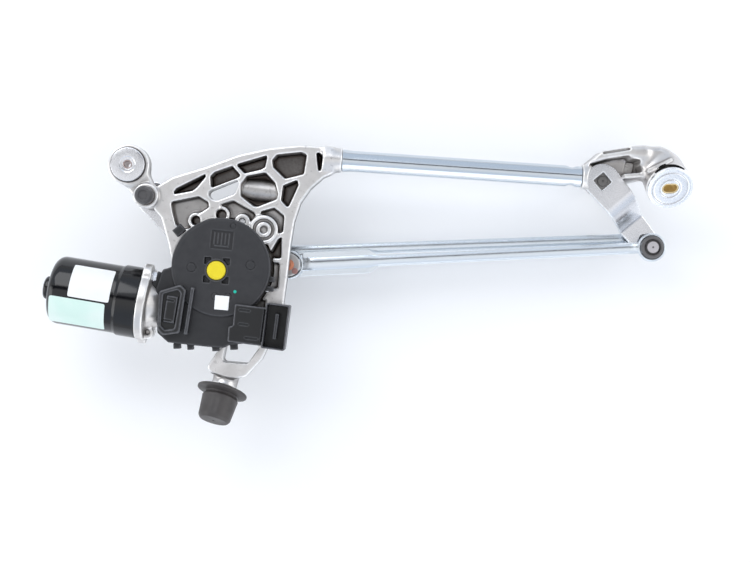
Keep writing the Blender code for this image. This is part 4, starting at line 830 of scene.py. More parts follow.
@dataclass
class FrameCasting:
    """The arched honeycomb casting with the driver's pivot, the bush eye, the foot peg and its bosses."""

    bottom: float = -12.0
    top: float = 8.0
    web: float = -9.0
    shallow_web: float = -1.0
    rib_edge: float = 1.5
    draft: float = 0.07
    outline: tuple = (
        (27, -20), (43, -11), (73, -2), (104.5, 9.5), (133, 15.7), (161.5, 18.5), (194, 16.8), (194, -7.5),
        (184, -12), (172, -22.5), (162.5, -36), (156.5, -54), (153, -76), (150, -104), (146, -133),
        (139, -157),
        (126, -184), (111, -200), (101, -202.5), (78, -197), (74, -191), (87, -171), (92, -150), (60, -141),
        (44, -110), (38, -75), (31, -50), (24, -42))
    deep_cells: tuple = (
        ((41.2, -28.1), (45.6, -22.3), (73.2, -8.6), (72.6, -11.6), (64.9, -20.8), (60.6, -24.4)),
        ((77.4, -11.2), (81.2, -7.2), (98.0, -1.2), (106.0, -10.2), (102.4, -12.6), (78.0, -21.8)),
        ((101.6, 0.2), (130.2, 8.6), (131.0, 7.2), (128.8, -2.4), (124.9, -4.5), (109.6, -8)),
        ((135.8, 4.2), (140.4, 9.5), (163.0, 11.8), (168.4, 9.4), (165.4, -8.8), (147.8, -13.1),
         (136.6, -2.1)),
        ((146.2, -19.6), (159.6, -14.2), (160.4, -18.7), (158.6, -23.2), (154, -33.4), (150.4, -40.6),
         (144.2, -33.4)),
        ((134, -83), (140.8, -71.4), (144.6, -67.4), (144.0, -88.2), (133.8, -88.2)),
        ((177.4, 12.6), (188.6, 6.9), (179.6, -9.4)))
    shallow_cells: tuple = (
        ((105.8, -18.3), (111.8, -10.3), (129.4, -7.0), (138.8, -17), (141.4, -27.4), (140, -32.8),
         (121.9, -39.8),
         (118, -39.3), (105.6, -29.4)),
        ((39.6, -34.9), (66.4, -29.4), (76.0, -35.2), (76.3, -40.3), (66, -47), (60, -60), (48.4, -62),
         (43.9, -56),
         (41.2, -45.4)),
        ((84.6, -38), (99.2, -33.4), (118.4, -44.4), (120.8, -47.4), (113.2, -66), (100, -66), (88, -48)),
        ((122.6, -44.6), (137.4, -40), (147.6, -48.2), (146.2, -63.8), (140, -66), (128, -50)),
        ((132.4, -92), (143.4, -92), (141.4, -117.4), (132, -117.4)))
    windows: tuple = (
        ((75.6, -27.7), (78.2, -25), (102.4, -15.2), (103.4, -17.6), (99.4, -27), (83.4, -33), (79.2, -31.6)),
        ((93, -170), (124, -170), (112, -187), (90, -185)))
    boss: Point = (127.7, -61.3)
    boss_radius: float = 13.5
    screws: tuple = ((107.5, -53.5), (50.0, -118.0), (131.0, -117.5))
    recess: float = 47.5
    eye: float = 19.5
    sleeve: float = 11.8
    sleeve_top: float = 12.0
    sleeve_bottom: float = -40.0
    collar: float = 11.5

    def build(self) -> None:
        """Carve the casting, and dress it."""
        field = Field((-24, -240, -43), (207, 27, 16), 0.9)
        above, below = self.top + 30, self.bottom - 30
        plan = field.outline(self.outline, 4.0)
        field.add(field.slab(plan, self.bottom, self.top, self.rib_edge))
        lip = self.top + 3.0
        for cell in self.deep_cells:
            field.cut(field.slab(field.outline(cell, 1.6) - 0.5, self.web, lip, 1.2, self.draft), blend=0.7)
        rooms = [field.outline(cell, 3.0) for cell in self.shallow_cells]
        for room in rooms:
            field.cut(field.slab(room, self.shallow_web, lip, 2.0, self.draft), blend=0.9)
        core = field.bar((104, -21, -10), (150, -27, -10), 10.5, 12.0, 2.0)
        field.cut(field.slab(rooms[0], self.shallow_web - 5, lip, 2.0, self.draft), blend=0.9)
        field.add(np.maximum(core, rooms[0] - 0.5), blend=2.0)
        for window in self.windows:
            field.cut(field.slab(field.outline(window, 2.0) - 0.9, below, above, 0.0), blend=0.7)
        field.cut(field.slab(field.circle(PLACE.output, self.recess), self.web, above, 1.5), blend=1.6)
        tunnel = field.turned_box(PLACE.motor_point(-22.5, -1)[:2], (135, 46), PLACE.motor_turn, self.web,
                                  above, 1.5)
        field.cut(tunnel, blend=1.6)
        field.cut(field.slab(field.circle(PLACE.output, 17.3), below, above), blend=1.0)
        self.add_bosses(field)
        self.add_fixings(field)
        for spot in self.screws:
            field.cut(field.slab(field.circle(spot, 3.3), below, above), blend=0.8)
        dress(field.piece("frame_casting_surface", 0.62), CAST, Body.FRAME, "frame_casting")

    def add_bosses(self, field: Field) -> None:
        """Add the ringed boss beside the gears, the screw boss and the small raised lugs."""
        ring = field.slab(field.circle(self.boss, self.boss_radius), self.bottom, self.top + 2.6, 1.4)
        field.add(ring, blend=3.0)
        groove = field.slab(field.circle(self.boss, self.boss_radius - 3.2), self.top - 3, self.top + 30, 1.2)
        field.cut(groove, blend=1.2)
        step = field.slab(field.circle(self.boss, self.boss_radius - 6), self.top - 6, self.top + 1.5, 1.5)
        field.add(step, blend=1.5)
        field.cut(field.slab(field.circle(self.boss, 3.6), self.top - 4, self.top + 30, 1.0), blend=1.5)
        field.add(field.slab(field.circle(self.screws[0], 7.2), self.web, self.top + 1.2, 1.3), blend=3.0)
        for spot, size in (((63.5, -52.5), 7.5), ((87.5, -47.0), 8.0)):
            field.add(field.slab(field.circle(spot, size), self.web, self.top - 1.5, 1.3), blend=3.0)
            field.cut(field.slab(field.circle(spot, size - 3.0), self.web + 3, self.top + 30, 1.0), blend=1.2)

    def add_fixings(self, field: Field) -> None:
        """Add the eye and its arm, the driver's sleeve, the tube's collar and the foot's peg."""
        left, right = np.array(PLACE.tube_left), np.array(PLACE.tube_right)
        run = unit(right - left)
        field.add(field.bar(left - run * 18, left - run * 0.3, self.collar, edge=1.0), blend=5.0)
        arm = field.slab(field.link(PLACE.left_bush, PLACE.driver, 13, 10.5), -9, 7.4, 2.0)
        field.add(arm, blend=4.0)
        field.add(field.slab(field.circle(PLACE.left_bush, self.eye), -9, 8, 1.3), blend=4.0)
        field.add(field.slab(field.circle(PLACE.driver, self.sleeve), self.sleeve_bottom, self.sleeve_top,
                             0.8),
                  blend=3.0)
        foot, ahead = np.array(PLACE.foot), unit(PLACE.foot_ahead)
        field.add(field.bar(foot - ahead * 12, foot - ahead * 0.3, 12.0, edge=1.2), blend=4.0)
        field.add(field.bar(foot - ahead * 10, foot + ahead * 22, 7.0, edge=0.8))
        field.cut(field.slab(field.circle(PLACE.left_bush, 14.0), -60, 60))
        field.cut(field.slab(field.circle(PLACE.driver, 8.0), -60, 60), blend=0.8)


@dataclass
class SupportTube:
    """The drawn tube between the castings, flared at its left end and crimped at its right."""

    radius: float = 10.0
    wall: float = 1.5
    flare: float = 0.7
    crimp: float = 1.9
    crimp_from_end: float = 10.0

    def build(self) -> None:
        """Make the tube as an outer and an inner wall with rounded lips, and dress it.

        The radius at a distance s and a turn t is the tube's own, plus a flare that dies away from the
        left end, less two dents near the right end: bell curves of s times a power of cos t.
        """
        left, right = np.array(PLACE.tube_left), np.array(PLACE.tube_right)
        length = float(np.linalg.norm(right - left))
        lip = 0.5
        along = np.concatenate([[lip], np.linspace(1.5, 14, 14), np.linspace(24, length - 34, 10),
                                np.linspace(length - 28, length - 1.5, 40), [length - lip]])
        outer = np.stack([np.full(len(along), self.radius), along], -1)
        ends = np.array([[self.radius - lip, length], [self.radius - self.wall, length],
                         [self.radius - self.wall, 0.0], [self.radius - lip, 0.0]])
        profile = np.concatenate([outer, ends])

        def relief(turn: Array, height: Array) -> Array:
            """Return the flare and the dents."""
            dent = np.exp(-((height - (length - self.crimp_from_end)) / 3.2) ** 2) * np.abs(np.cos(turn)) ** 6
            return self.flare * np.exp(-((height / 5.5) ** 2)) - self.crimp * dent

        axes = Axes(PLACE.tube_left, tuple(right - left), (0, 1, 0))
        dress(turned("support_tube_surface", profile, axes, 96, relief), TUBE, Body.FRAME, "support_tube")


@dataclass
class PivotCasting:
    """The casting at the passenger's end: pivot sleeve, ribbed arms and the big tilted eye."""

    plate_z: float = -16.3
    sleeve_bottom: float = -52.0
    sleeve: float = 11.8
    eye_half: float = 16.0
    eye_outer: float = 22.0

    def build(self) -> None:
        """Carve the casting, and dress it."""
        px, py = PLACE.passenger
        field = Field((px - 34, py - 28, -54), (px + 86, py + 46, 17), 0.72)
        centre, tilt = np.array(PLACE.right_bush), unit(PLACE.bush_tilt)
        run = unit(np.array(PLACE.tube_right) - np.array(PLACE.tube_left))
        right = np.array(PLACE.tube_right)
        field.add(field.bar(centre - tilt * self.eye_half, centre + tilt * self.eye_half,
                            self.eye_outer - 1.5,
                            self.eye_outer, 1.2))
        wall = ((px - 20, py + 8.2), (px - 20, py + 13), (px - 4, py + 27), (px + 24, py + 31),
                (px + 40, py + 31),
                (px + 40, py + 21), (px + 22, py + 23), (px + 2, py + 20.5), (px - 14.5, py + 16))
        field.add(field.slab(field.outline(wall, 4.0), -30, 7, 2.2), blend=4.0)
        shell = ((px + 24, py + 30.5), (px + 38, py + 32), (px + 53, py + 32.4), (px + 62, py + 28),
                 (px + 68, py + 18),
                 (px + 57, py + 8), (px + 36, py + 6), (px + 33, py + 13), (px + 25, py + 19))
        field.add(field.slab(field.outline(shell, 5.0), -24, 6.5, 6.0), blend=7.0)
        floor = ((px - 16, py - 4), (px - 19.5, py + 14), (px - 2, py + 27), (px + 46, py + 31),
                 (px + 40, py + 2),
                 (px + 20, py - 3), (px + 12, py - 12), (px - 10, py - 12))
        field.add(field.slab(field.outline(floor, 5.0), -28.5, self.plate_z - 2, 1.2), blend=4.0)
        rib = field.turned_box((px + 31, py + 5), (26, 4), math.radians(4), -26, 3, 1.0)
        field.add(rib, blend=3.5)
        field.add(field.bar(right + run * 0.3, right + run * 9, 11.5, edge=0.8), blend=3.0)
        field.add(field.slab(field.circle(PLACE.passenger, self.sleeve), self.sleeve_bottom, self.plate_z,
                             0.8),
                  blend=2.0)
        window = ((px + 21, py + 8.5), (px + 24, py + 20), (px + 33, py + 19), (px + 31, py + 8.5))
        field.cut(field.slab(field.outline(window, 2.0), -27, 50), blend=1.0)
        slot = field.link((px - 2, py + 25.4), (px + 22, py + 29.2), 1.0, 1.0)
        field.cut(field.slab(slot, 4.0, 50, 0.4), blend=0.8)
        field.emboss(np.abs(slot - 0.9) - 0.5, 0.5, 5.0)
        field.emboss(field.link((px + 40, py + 8.6), (px + 60.5, py + 18.6), 1.9, 1.5), 1.1, 0.0)
        field.cut(field.slab(field.circle(PLACE.passenger, 17.7), self.plate_z, 60), blend=0.8)
        field.cut(field.bar(centre - tilt * 70, centre + tilt * 70, 17.5))
        field.cut(field.slab(field.circle(PLACE.passenger, 8.0), -90, 60), blend=0.6)
        for way in (-1, 1):
            end = centre + tilt * way * self.eye_half
            field.cut(field.bar(end, end + tilt * way * 60, self.eye_outer + 0.6))
        dress(field.piece("pivot_casting_surface", 0.6), CAST_SMOOTH, Body.FRAME, "pivot_casting")


@dataclass
class Bushes:
    """The two rubber mounted bushes with their flanged sleeves."""

    left_radius: float = 16.0
    left_half: float = 13.0
    left_bore: float = 4.2
    right_half: float = 20.0
    right_radius: float = 19.8
    right_bore: float = 17.5
    flange: float = 2.5
    rubber: float = 5.0

    def build(self) -> None:
        """Make both bushes, and dress them."""
        self.left()
        self.right()

    def left(self) -> None:
        """Make the upright bush in the frame's eye."""
        inner, lip, end = self.left_radius - 2.3 - self.rubber, self.left_radius + 1.0, self.left_half - 2.8
        axes = Axes((*PLACE.left_bush, 0.0))
        corners = ((inner + 0.3, end), (lip, end), (lip, 8.3), (13.7, 8.3), (13.7, -9.3), (lip, -9.3),
                   (lip, -end),
                   (inner + 0.3, -end))
        rubber = turned("left_bush_rubber_ring", filleted(corners, 0.9), axes)
        dress(rubber, RUBBER, Body.FRAME, "left_bush_rubber")
        half, thin = self.left_half, self.left_half - self.flange
        corners = ((self.left_bore, half - 0.4), (7.0, half - 0.4), (7.8, half), (self.left_radius, half),
                   (self.left_radius, thin), (inner, thin), (inner, -thin), (self.left_radius, -thin),
                   (self.left_radius, -half), (self.left_bore, -half))
        sleeve = turned("left_bush_flanged_sleeve", filleted(corners, 0.7), axes)
        dress(sleeve, ZINC, Body.FRAME, "left_bush_sleeve")
        liner = turned("left_bush_bolt_liner",
                       np.array([(4.15, 12.4), (3.3, 12.4), (3.3, -12.8), (4.15, -12.8)]), axes, 48)
        dress(liner, LINER, Body.FRAME)

    def right(self) -> None:
        """Make the tilted bush with its slotted sleeve and chromated liner."""
        axes = Axes(PLACE.right_bush, PLACE.bush_tilt)
        inner = self.right_bore - 0.3 - self.rubber
        end, edge = self.right_half - self.flange - 0.3, self.right_half - self.flange - 1.2
        outer = 19.9
        corners = ((inner + 0.3, end), (outer, end), (outer, edge), (17.2, edge), (17.2, -edge),
                   (outer, -edge),
                   (outer, -end), (inner + 0.3, -end))
        rubber = turned("right_bush_rubber_ring", filleted(corners, 0.4), axes)
        dress(rubber, RUBBER, Body.FRAME, "right_bush_rubber")
        field = Field((-21.5, -21.5, -21.5), (21.5, 21.5, 21.5), 0.5, axes)
        half, thin = self.right_half, self.right_half - self.flange
        field.add(field.slab(field.circle((0, 0), inner), -thin - 1, thin + 1))
        for way in (-1, 1):
            low, high = sorted((way * half, way * thin))
            field.add(field.slab(field.circle((0, 0), self.right_radius), low, high, 0.7))
        skirt = np.abs(field.circle((0, 0), 20.6)) - 0.75
        field.add(field.slab(skirt, 16.3, half, 0.5), blend=0.8)
        for reach in (16.6, 9.4):
            groove = np.abs(np.hypot(field.x, field.y) - reach) - 0.4
            field.cut(field.slab(groove, half - 0.6, half + 5, 0.2), blend=0.3)
        slot = field.link((-2.6, 0), (2.6, 0), 5.2, 5.2)
        field.cut(field.slab(slot, -60, 60), blend=0.8)
        dress(field.piece("right_bush_slotted_sleeve", 0.55), ZINC, Body.FRAME, "right_bush_sleeve")
        lining = Field((-9, -6.5, -20.5), (9, 6.5, 20.5), 0.4, axes)
        plan = lining.link((-2.6, 0), (2.6, 0), 5.0, 5.0)
        lining.add(lining.slab(plan, -half + 0.8, half - 0.8, 0.3)).cut(lining.slab(plan + 1.1, -60, 60))
        dress(lining.piece("right_bush_slot_liner", 0.5), GOLD, Body.FRAME)


@dataclass
class RubberFoot:
    """The plug on the frame's lower corner, with its flange and its ribbed skirt."""

    flange: float = 24.0
    plug: float = 16.5
    length: float = 33.0
    peg: float = 7.3

    def build(self) -> None:
        """Make the foot as a turned piece whose plug has shallow flutes, and dress it."""
        corners = ((0, self.length - 1.5), (1.1, self.length - 1.5), (1.1, self.length), (13.5, self.length),
                   (15.6, self.length - 3), (17.4, 10.5), (15.4, 8.2), (15.4, 6.2), (self.flange, 4.8),
                   (self.flange, 2.4), (17.5, 1.6), (14.5, 0), (self.peg, 0), (self.peg, 22.3), (0, 22.3))
        profile = filleted(corners, (0, 0, 0.2, 1.8, 3.0, 1.6, 0.8, 0.8, 0.9, 0.9, 0.8, 0.6, 0.3, 0, 0),
                           False, 6)
        profile = self.fine(profile)

        def relief(turn: Array, height: Array) -> Array:
            """Return four shallow flutes on the plug: a power of cos 2t, fading at both ends."""
            band = np.clip((height - 11) / 3, 0, 1) * np.clip((self.length - 3 - height) / 3, 0, 1)
            return -0.55 * band * np.abs(np.cos(2 * turn)) ** 18

        axes = Axes(PLACE.foot, PLACE.foot_ahead)
        dress(turned("foot_plug", profile, axes, 160, relief), RUBBER, Body.FRAME, "foot_grommet")

    def fine(self, line: Array, longest: float = 2.5) -> Array:
        """Return a line with points added so that no step is longer than the given length."""
        counts = np.maximum(np.ceil(np.linalg.norm(np.diff(line, axis=0), axis=1) / longest).astype(int), 1)
        index = np.repeat(np.arange(len(counts)), counts)
        share = np.concatenate([np.arange(count) / count for count in counts])[:, None]
        return np.concatenate([line[index] * (1 - share) + line[index + 1] * share, line[-1:]])


@dataclass
class GearHousing:
    """The cast housing of the worm drive, with the motor's flange, its screw lugs and its side lug."""

    bottom: float = -8.7
    top: float = 16.0
    chamber: float = 41.5
    wall: float = 45.0
    flange_end: float = 70.0
    flange_thick: float = 8.0
    flange: float = 34.0
    lug: Point = (19.0, -157.7)

    def build(self) -> None:
        """Carve the housing in the motor's own directions, and dress it."""
        field = Field((-96, -40, -50), (44, 40, 74), 0.85, PLACE.motor_axes(0.0))
        centre = field.axes.local(np.array([[*PLACE.output, 0.0]]))[0]
        end, thick = self.flange_end, self.flange_thick

        def post(radius: float, bottom: float, top: float, edge: float = 0.0) -> Array:
            """Return the distance from a cylinder on the output axis, between two heights."""
            low, high = centre + np.array((0, bottom, 0)), centre + np.array((0, top, 0))
            return field.bar(low, high, radius, edge=edge)

        field.add(post(self.wall, self.bottom, self.top, 1.4))
        field.add(field.bar((0, 0, -34), (0, 0, end - 4), 13.5, edge=2.0), blend=6.0)
        field.add(field.bar((0, 0, end - 30), (0, 0, end - 5), 12.0, 27.0, 1.0), blend=3.0)
        field.add(field.bar((0, 0, end - thick), (0, 0, end), self.flange, edge=1.2), blend=2.0)
        for way in (-1, 1):
            seat = np.array((-way * 27, way * 12, end - thick))
            field.add(field.bar(seat, seat + np.array((0, 0, thick)), 11.0, edge=1.2), blend=2.0)
        field.add(post(16.7, -22.0, 0.0, 1.0), blend=2.0)
        self.add_side_lug(field)
        field.cut(post(self.chamber, self.bottom + 3.5, 60), blend=0.8)
        field.cut(post(5.15, -60, 20))
        field.cut(field.bar((0, 0, -30), (0, 0, end + 5), 8.5))
        field.cut(field.bar((0, 0, end - 4), (0, 0, end + 5), 27.0))
        dress(field.piece("gear_housing_surface", 0.6), CAST_SMOOTH, Body.FRAME, "gear_housing")

    def add_side_lug(self, field: Field) -> None:
        """Add the upright lug beside the flange, with its blind hole, where the photo shows one."""
        spot = field.axes.local(np.array([[*self.lug, 10.0]]))[0]
        rise = np.array((0, 6.0, 0))
        field.add(field.bar(spot - rise, spot + rise, 6.5, edge=1.2), blend=3.0)
        field.cut(field.bar(spot, spot + 2 * rise, 2.6), blend=1.2)


@dataclass
class WiperMotor:
    """The deep drawn motor can with its band, its rounded end and nose, and two bare labels."""

    start: float = 70.3
    radius: float = 32.0
    band: float = 33.5
    band_length: float = 18.0
    length: float = 84.0
    corner: float = 12.0
    nose: float = 11.0
    nose_length: float = 8.0
    wall: float = 2.0

    def build(self) -> None:
        """Make the can as one turned shell, with its labels and screws."""
        axes = PLACE.motor_axes(-self.start)
        end, inner = self.length, self.radius - self.wall
        corners = ((0, end + self.nose_length), (self.nose, end + self.nose_length), (self.nose, end),
                   (self.radius, end), (self.radius, self.band_length + 3), (self.band, self.band_length),
                   (self.band, 0), (inner, 0), (inner, end - 12), (inner - 5, end - 2), (4.2, end - 2),
                   (4.2, end + self.nose_length - 2), (0, end + self.nose_length - 2))
        radii = (0, 3.2, 2.0, self.corner, 3.0, 2.0, 0.6, 0.3, 2.0, 2.0, 0.3, 0.3, 0)
        profile = filleted(corners, radii, False, 8)
        dress(turned("motor_can_shell", profile, axes, 160), PAINT, Body.FRAME, "motor_can")
        self.label("motor_label_upper", (24.5, 63.0), (-6.0, 54.0), LABEL)
        self.label("motor_label_lower", (27.5, 79.5), (-66.0, -9.0), GREEN_LABEL)
        for index, way in enumerate((-1, 1)):
            self.screw("motor_screw_head_" + str(index + 1), way, "motor_screw_" + str(index + 1))

    def label(self, name: str, span: Point, turns: Point, finish: Finish) -> None:
        """Make a bare label that hugs the can.

        Its points lie a set height above the can, at a distance along it and at a turn about it, with
        the corners drawn in by an even power of the distance from the label's middle.

        Args:
            name: The piece's name.
            span: Where it starts and ends along the can.
            turns: Where it starts and ends about the can, in degrees.
            finish: Its finish.
        """
        u, v = np.linspace(-1, 1, 40)[:, None], np.linspace(-1, 1, 60)[None, :]
        squeeze_u, squeeze_v = 1 - 0.025 * np.abs(v) ** 24 + 0 * u, 1 - 0.025 * np.abs(u) ** 24 + 0 * v
        along = (span[0] + span[1]) / 2 + u * squeeze_u * (span[1] - span[0]) / 2
        turn = np.radians((turns[0] + turns[1]) / 2 + v * squeeze_v * (turns[1] - turns[0]) / 2)
        sheets = []
        for rise in (0.22, 0.04):
            reach = self.radius + rise
            sheets.append(np.stack([reach * np.sin(-turn), reach * np.cos(turn), along], -1))
        outer = np.concatenate([sheets[0], sheets[1][:, ::-1]], axis=1)
        ends = [np.stack([sheet[row] for sheet in sheets]) for row in (0, -1)]
        points = np.concatenate([outer.reshape(-1, 3)] + [end.reshape(-1, 3) for end in ends])
        count, size = outer.shape[:2]
        quads = [grid_faces(count, size, False, True)]
        for index in range(2):
            quads.append(grid_faces(2, v.size, False, False) + count * size + index * 2 * v.size)
        axes = PLACE.motor_axes(-self.start)
        dress(make_piece(name, axes.place(points), np.concatenate(quads)), finish, Body.FRAME)

    def screw(self, name: str, way: int, replaced: str) -> None:
        """Make a flanged six sided screw that holds the can's flange."""
        head = PLACE.motor_point(-62.0 + 0.3, way * 27, way * 12)
        direction = unit(PLACE.motor_point(1) - PLACE.motor_point(0))
        corners = ((0, 4.2), (4.3, 4.2), (4.6, 3.8), (4.6, 1.2), (5.4, 0.9), (5.4, 0), (2.7, 0),
                   (2.7, -6.8), (0, -6.8))

        def hexagon(turn: Array, height: Array) -> Array:
            """Return the six flats above the flange."""
            return (height > 1.25) * to_hexagon(turn, SCREW_APOTHEM, SCREW_CORNER)

        profile = filleted(corners, 0.25, False, 3)
        dress(turned(name, profile, Axes(tuple(head), tuple(direction)), 60, hexagon), ZINC, Body.FRAME,
              replaced)


@dataclass
class GearCover:
    """The moulded cover over the gears, with its plug, recesses, electronics box and connector."""

    low: float = 16.3
    top: float = 26.0
    radius: float = 46.0
    pod_top: float = 33.0
    connector_top: float = 36.0
    plug: float = 8.7
    plug_spot: Point = (85.3, -99.9)
    lower: tuple = ((28, -120), (35, -99), (60, -92), (118, -92), (126, -128), (121, -131), (114, -168),
                    (98, -169),
                    (92, -172), (76, -171), (40, -167), (30, -158))
    pod: tuple = ((33, -119), (53, -113), (58, -118), (52, -158), (36, -160), (31, -154))
    bridge: tuple = ((103, -131), (132, -134.5), (127, -170), (96, -166), (97, -152), (101, -151))
    connector: tuple = ((132.3, -129.8), (154.5, -132.5), (149, -174.5), (127, -171.5))

    def build(self) -> None:
        """Carve the cover, and add its plug, dot, pins and clips."""
        field = Field((24, -181, 10), (160, -48, 40), 0.62)
        disc = field.circle(PLACE.output, self.radius)
        field.add(field.slab(disc, self.low, self.top, 1.2))
        field.add(field.slab(field.outline(self.lower, 3.0), self.low, self.top - 1.5, 1.0), blend=1.0)
        self.add_relief(field)
        field.cut(field.slab(field.circle(PLACE.output, 39.0), self.low - 8, self.top - 5.2, 1.0))
        dress(field.piece("gear_cover_moulding", 0.62), MOULDING, Body.FRAME, "gear_cover")
        centre = np.mean(np.array(self.connector), 0)
        self.boxes(centre)
        self.small_pieces(centre)

    def boxes(self, centre: Array) -> None:
        """Carve the electronics box, the bridge and the connector's shroud, which stand on the cover."""
        field = Field((24, -181, 10), (160, -106, 40), 0.5)
        seat = self.top - 2.4
        field.add(field.slab(field.outline(self.pod, 3.0), seat, self.pod_top, 1.6))
        field.add(field.slab(field.outline(self.bridge, 1.5), seat, self.connector_top - 5, 0.9))
        shroud = field.outline(self.connector, 1.6)
        field.add(field.slab(shroud, self.low - 4, self.connector_top, 0.8), blend=0.8)
        inner = ((37, -121.5), (50.5, -118), (53, -121), (47, -154), (38.5, -155), (34.5, -151))
        field.cut(field.slab(field.outline(inner, 2.0), self.pod_top - 3.2, 60, 0.5), blend=0.9)
        slab = field.turned_box((43.5, -136), (10.5, 25), math.radians(-9), self.pod_top - 6,
                                self.pod_top - 1.4, 0.8)
        field.add(slab, blend=0.6)
        for shift in (-9.5, 9.5):
            spot = (41.8 + shift * 0.12, -137.0 + shift * 0.98)
            field.cut(field.turned_box(spot, (7.5, 1.2), math.radians(-9), self.pod_top - 2.2,
                                       self.pod_top + 5, 0.2),
                      blend=0.3)
        wall = field.turned_box((60.5, -137.5), (3.4, 44), math.radians(-9), seat, self.top + 4.5, 0.9)
        field.add(wall, blend=0.8)
        for spot, size in (((112, -137), (10, 1.2)), ((111, -150), (9, 1.2)), ((118, -163), (12, 1.2))):
            field.cut(field.turned_box(spot, size, math.radians(-7), self.connector_top - 5.7, 50, 0.2),
                      blend=0.4)
        field.cut(field.turned_box((129.5, -151), (1.6, 30), math.radians(-7.5), self.connector_top - 6, 50,
                                   0.3),
                  blend=0.5)
        room = centre + (np.array(self.connector) - centre) * np.array((0.87, 0.94))
        field.cut(field.slab(field.outline(room, 1.2), 18.0, 60, 0.5), blend=0.4)
        dress(field.piece("gear_cover_boxes", 0.6), GLOSS_MOULDING, Body.FRAME, "gear_cover")

    def add_relief(self, field: Field) -> None:
        """Add the sunk and raised marks of the mould: rings, a ribbed window, notches, tabs and ribs."""
        plug = self.plug_spot
        ring = field.slab(np.abs(field.circle(plug, self.plug + 1.4)) - 0.8, self.top - 2, self.top + 0.5,
                          0.3)
        field.add(ring)
        for quarter in range(4):
            spot = polar(plug, 12.2, math.radians(41 + 90 * quarter))
            notch = field.turned_box(spot, (6.2, 6.2), math.radians(-4), self.top - 4.5, self.top + 9, 0.4)
            field.cut(np.maximum(notch, -field.circle(plug, self.plug + 2.4)), blend=0.3)
        field.cut(field.slab(field.circle(plug, self.plug + 0.2), self.top - 2.2, 60, 0.2))
        window = field.turned_box((90.5, -71.5), (20, 17), math.radians(-6), self.top - 0.9, self.top + 9,
                                  0.3)
        field.cut(window, blend=0.4)
        for row in range(5):
            spot = (83.5 + 3.4 * row, -69.8 - 0.35 * row)
            rib = field.turned_box(spot, (1.3, 11.5 - 1.2 * (row % 2)), math.radians(-6), self.top - 2,
                                   self.top - 0.2, 0.2)
            field.add(rib)
        base = field.turned_box((90.0, -77.5), (14, 1.4), math.radians(-6), self.top - 2, self.top - 0.2, 0.2)
        field.add(base)
        for spot, radius in (((117, -95), 4.2), ((62, -97), 4.2), ((101, -58.5), 2.6), ((84, -124), 3.4),
                             ((96, -124.5), 3.4)):
            field.cut(field.slab(np.abs(field.circle(spot, radius)) - 0.35, self.top - 0.5, self.top + 5,
                                 0.15), blend=0.3)
        for spot, size in (((48, -170.5), (7, 5)), ((60.5, -171.5), (6, 5)), ((84, -173), (6.5, 4.5)),
                           ((101, -171.5), (7, 5))):
            field.add(field.turned_box(spot, size, math.radians(3), self.low, self.top - 4, 0.7), blend=1.0)
        for spot, size, angle in (((30.5, -110), (8, 17), -25), ((134.5, -108), (9, 5), -8),
                                  ((134, -117), (8, 4.5), -8),
                                  ((50.0, -62.5), (10, 8), 40)):
            field.add(field.turned_box(spot, size, math.radians(angle), self.low, self.top - 3, 0.8),
                      blend=1.2)
        rim = np.abs(field.circle(PLACE.output, self.radius - 1.6)) - 0.45
        field.cut(field.slab(np.maximum(rim, -(field.y + 118)), self.top - 0.45, self.top + 5, 0.15),
                  blend=0.3)

    def small_pieces(self, centre: Array) -> None:
        """Make the plug, the paint dot, the bare code patch, the tongue and the terminals."""
        top = self.top
        corners = ((0, top + 2.5), (7.6, top + 2.5), (self.plug, top + 1.4), (self.plug, top - 1.7),
                   (0, top - 1.7))
        plug = turned("vent_plug_cap", filleted(corners, (0, 1.2, 0.8, 0.4, 0), False),
                      Axes((*self.plug_spot, 0.0)))
        dress(plug, YELLOW, Body.FRAME, "vent_plug")
        dot = turned("paint_dot",
                     filleted(((0, top + 0.28), (1.3, top + 0.28), (1.5, top + 0.02), (0, top + 0.02)),
                                           (0, 0.2, 0, 0), False), Axes((102.6, -119.7, 0.0)), 32)
        dress(dot, TEAL_PAINT, Body.FRAME)
        patch = Field((82, -138.5, self.top - 2), (99, -121.5, self.top + 1.2), 0.3)
        patch.add(patch.turned_box((90.3, -130.0), (13.2, 13.2), math.radians(-5), self.top - 1.0,
                                   self.top + 0.3, 0.1))
        dress(patch.piece("bare_patch", 0.4), LABEL, Body.FRAME)
        tongue = Field((136, -166, 17), (147, -138, 31), 0.35)
        tongue.add(tongue.turned_box(centre, (3.4, 24), math.radians(-7.5), 18.1, 28, 0.5))
        dress(tongue.piece("connector_tongue", 0.5), GLOSS_MOULDING, Body.FRAME)
        for index in range(4):
            dress_node("connector_pin_" + str(index + 1), TINNED)


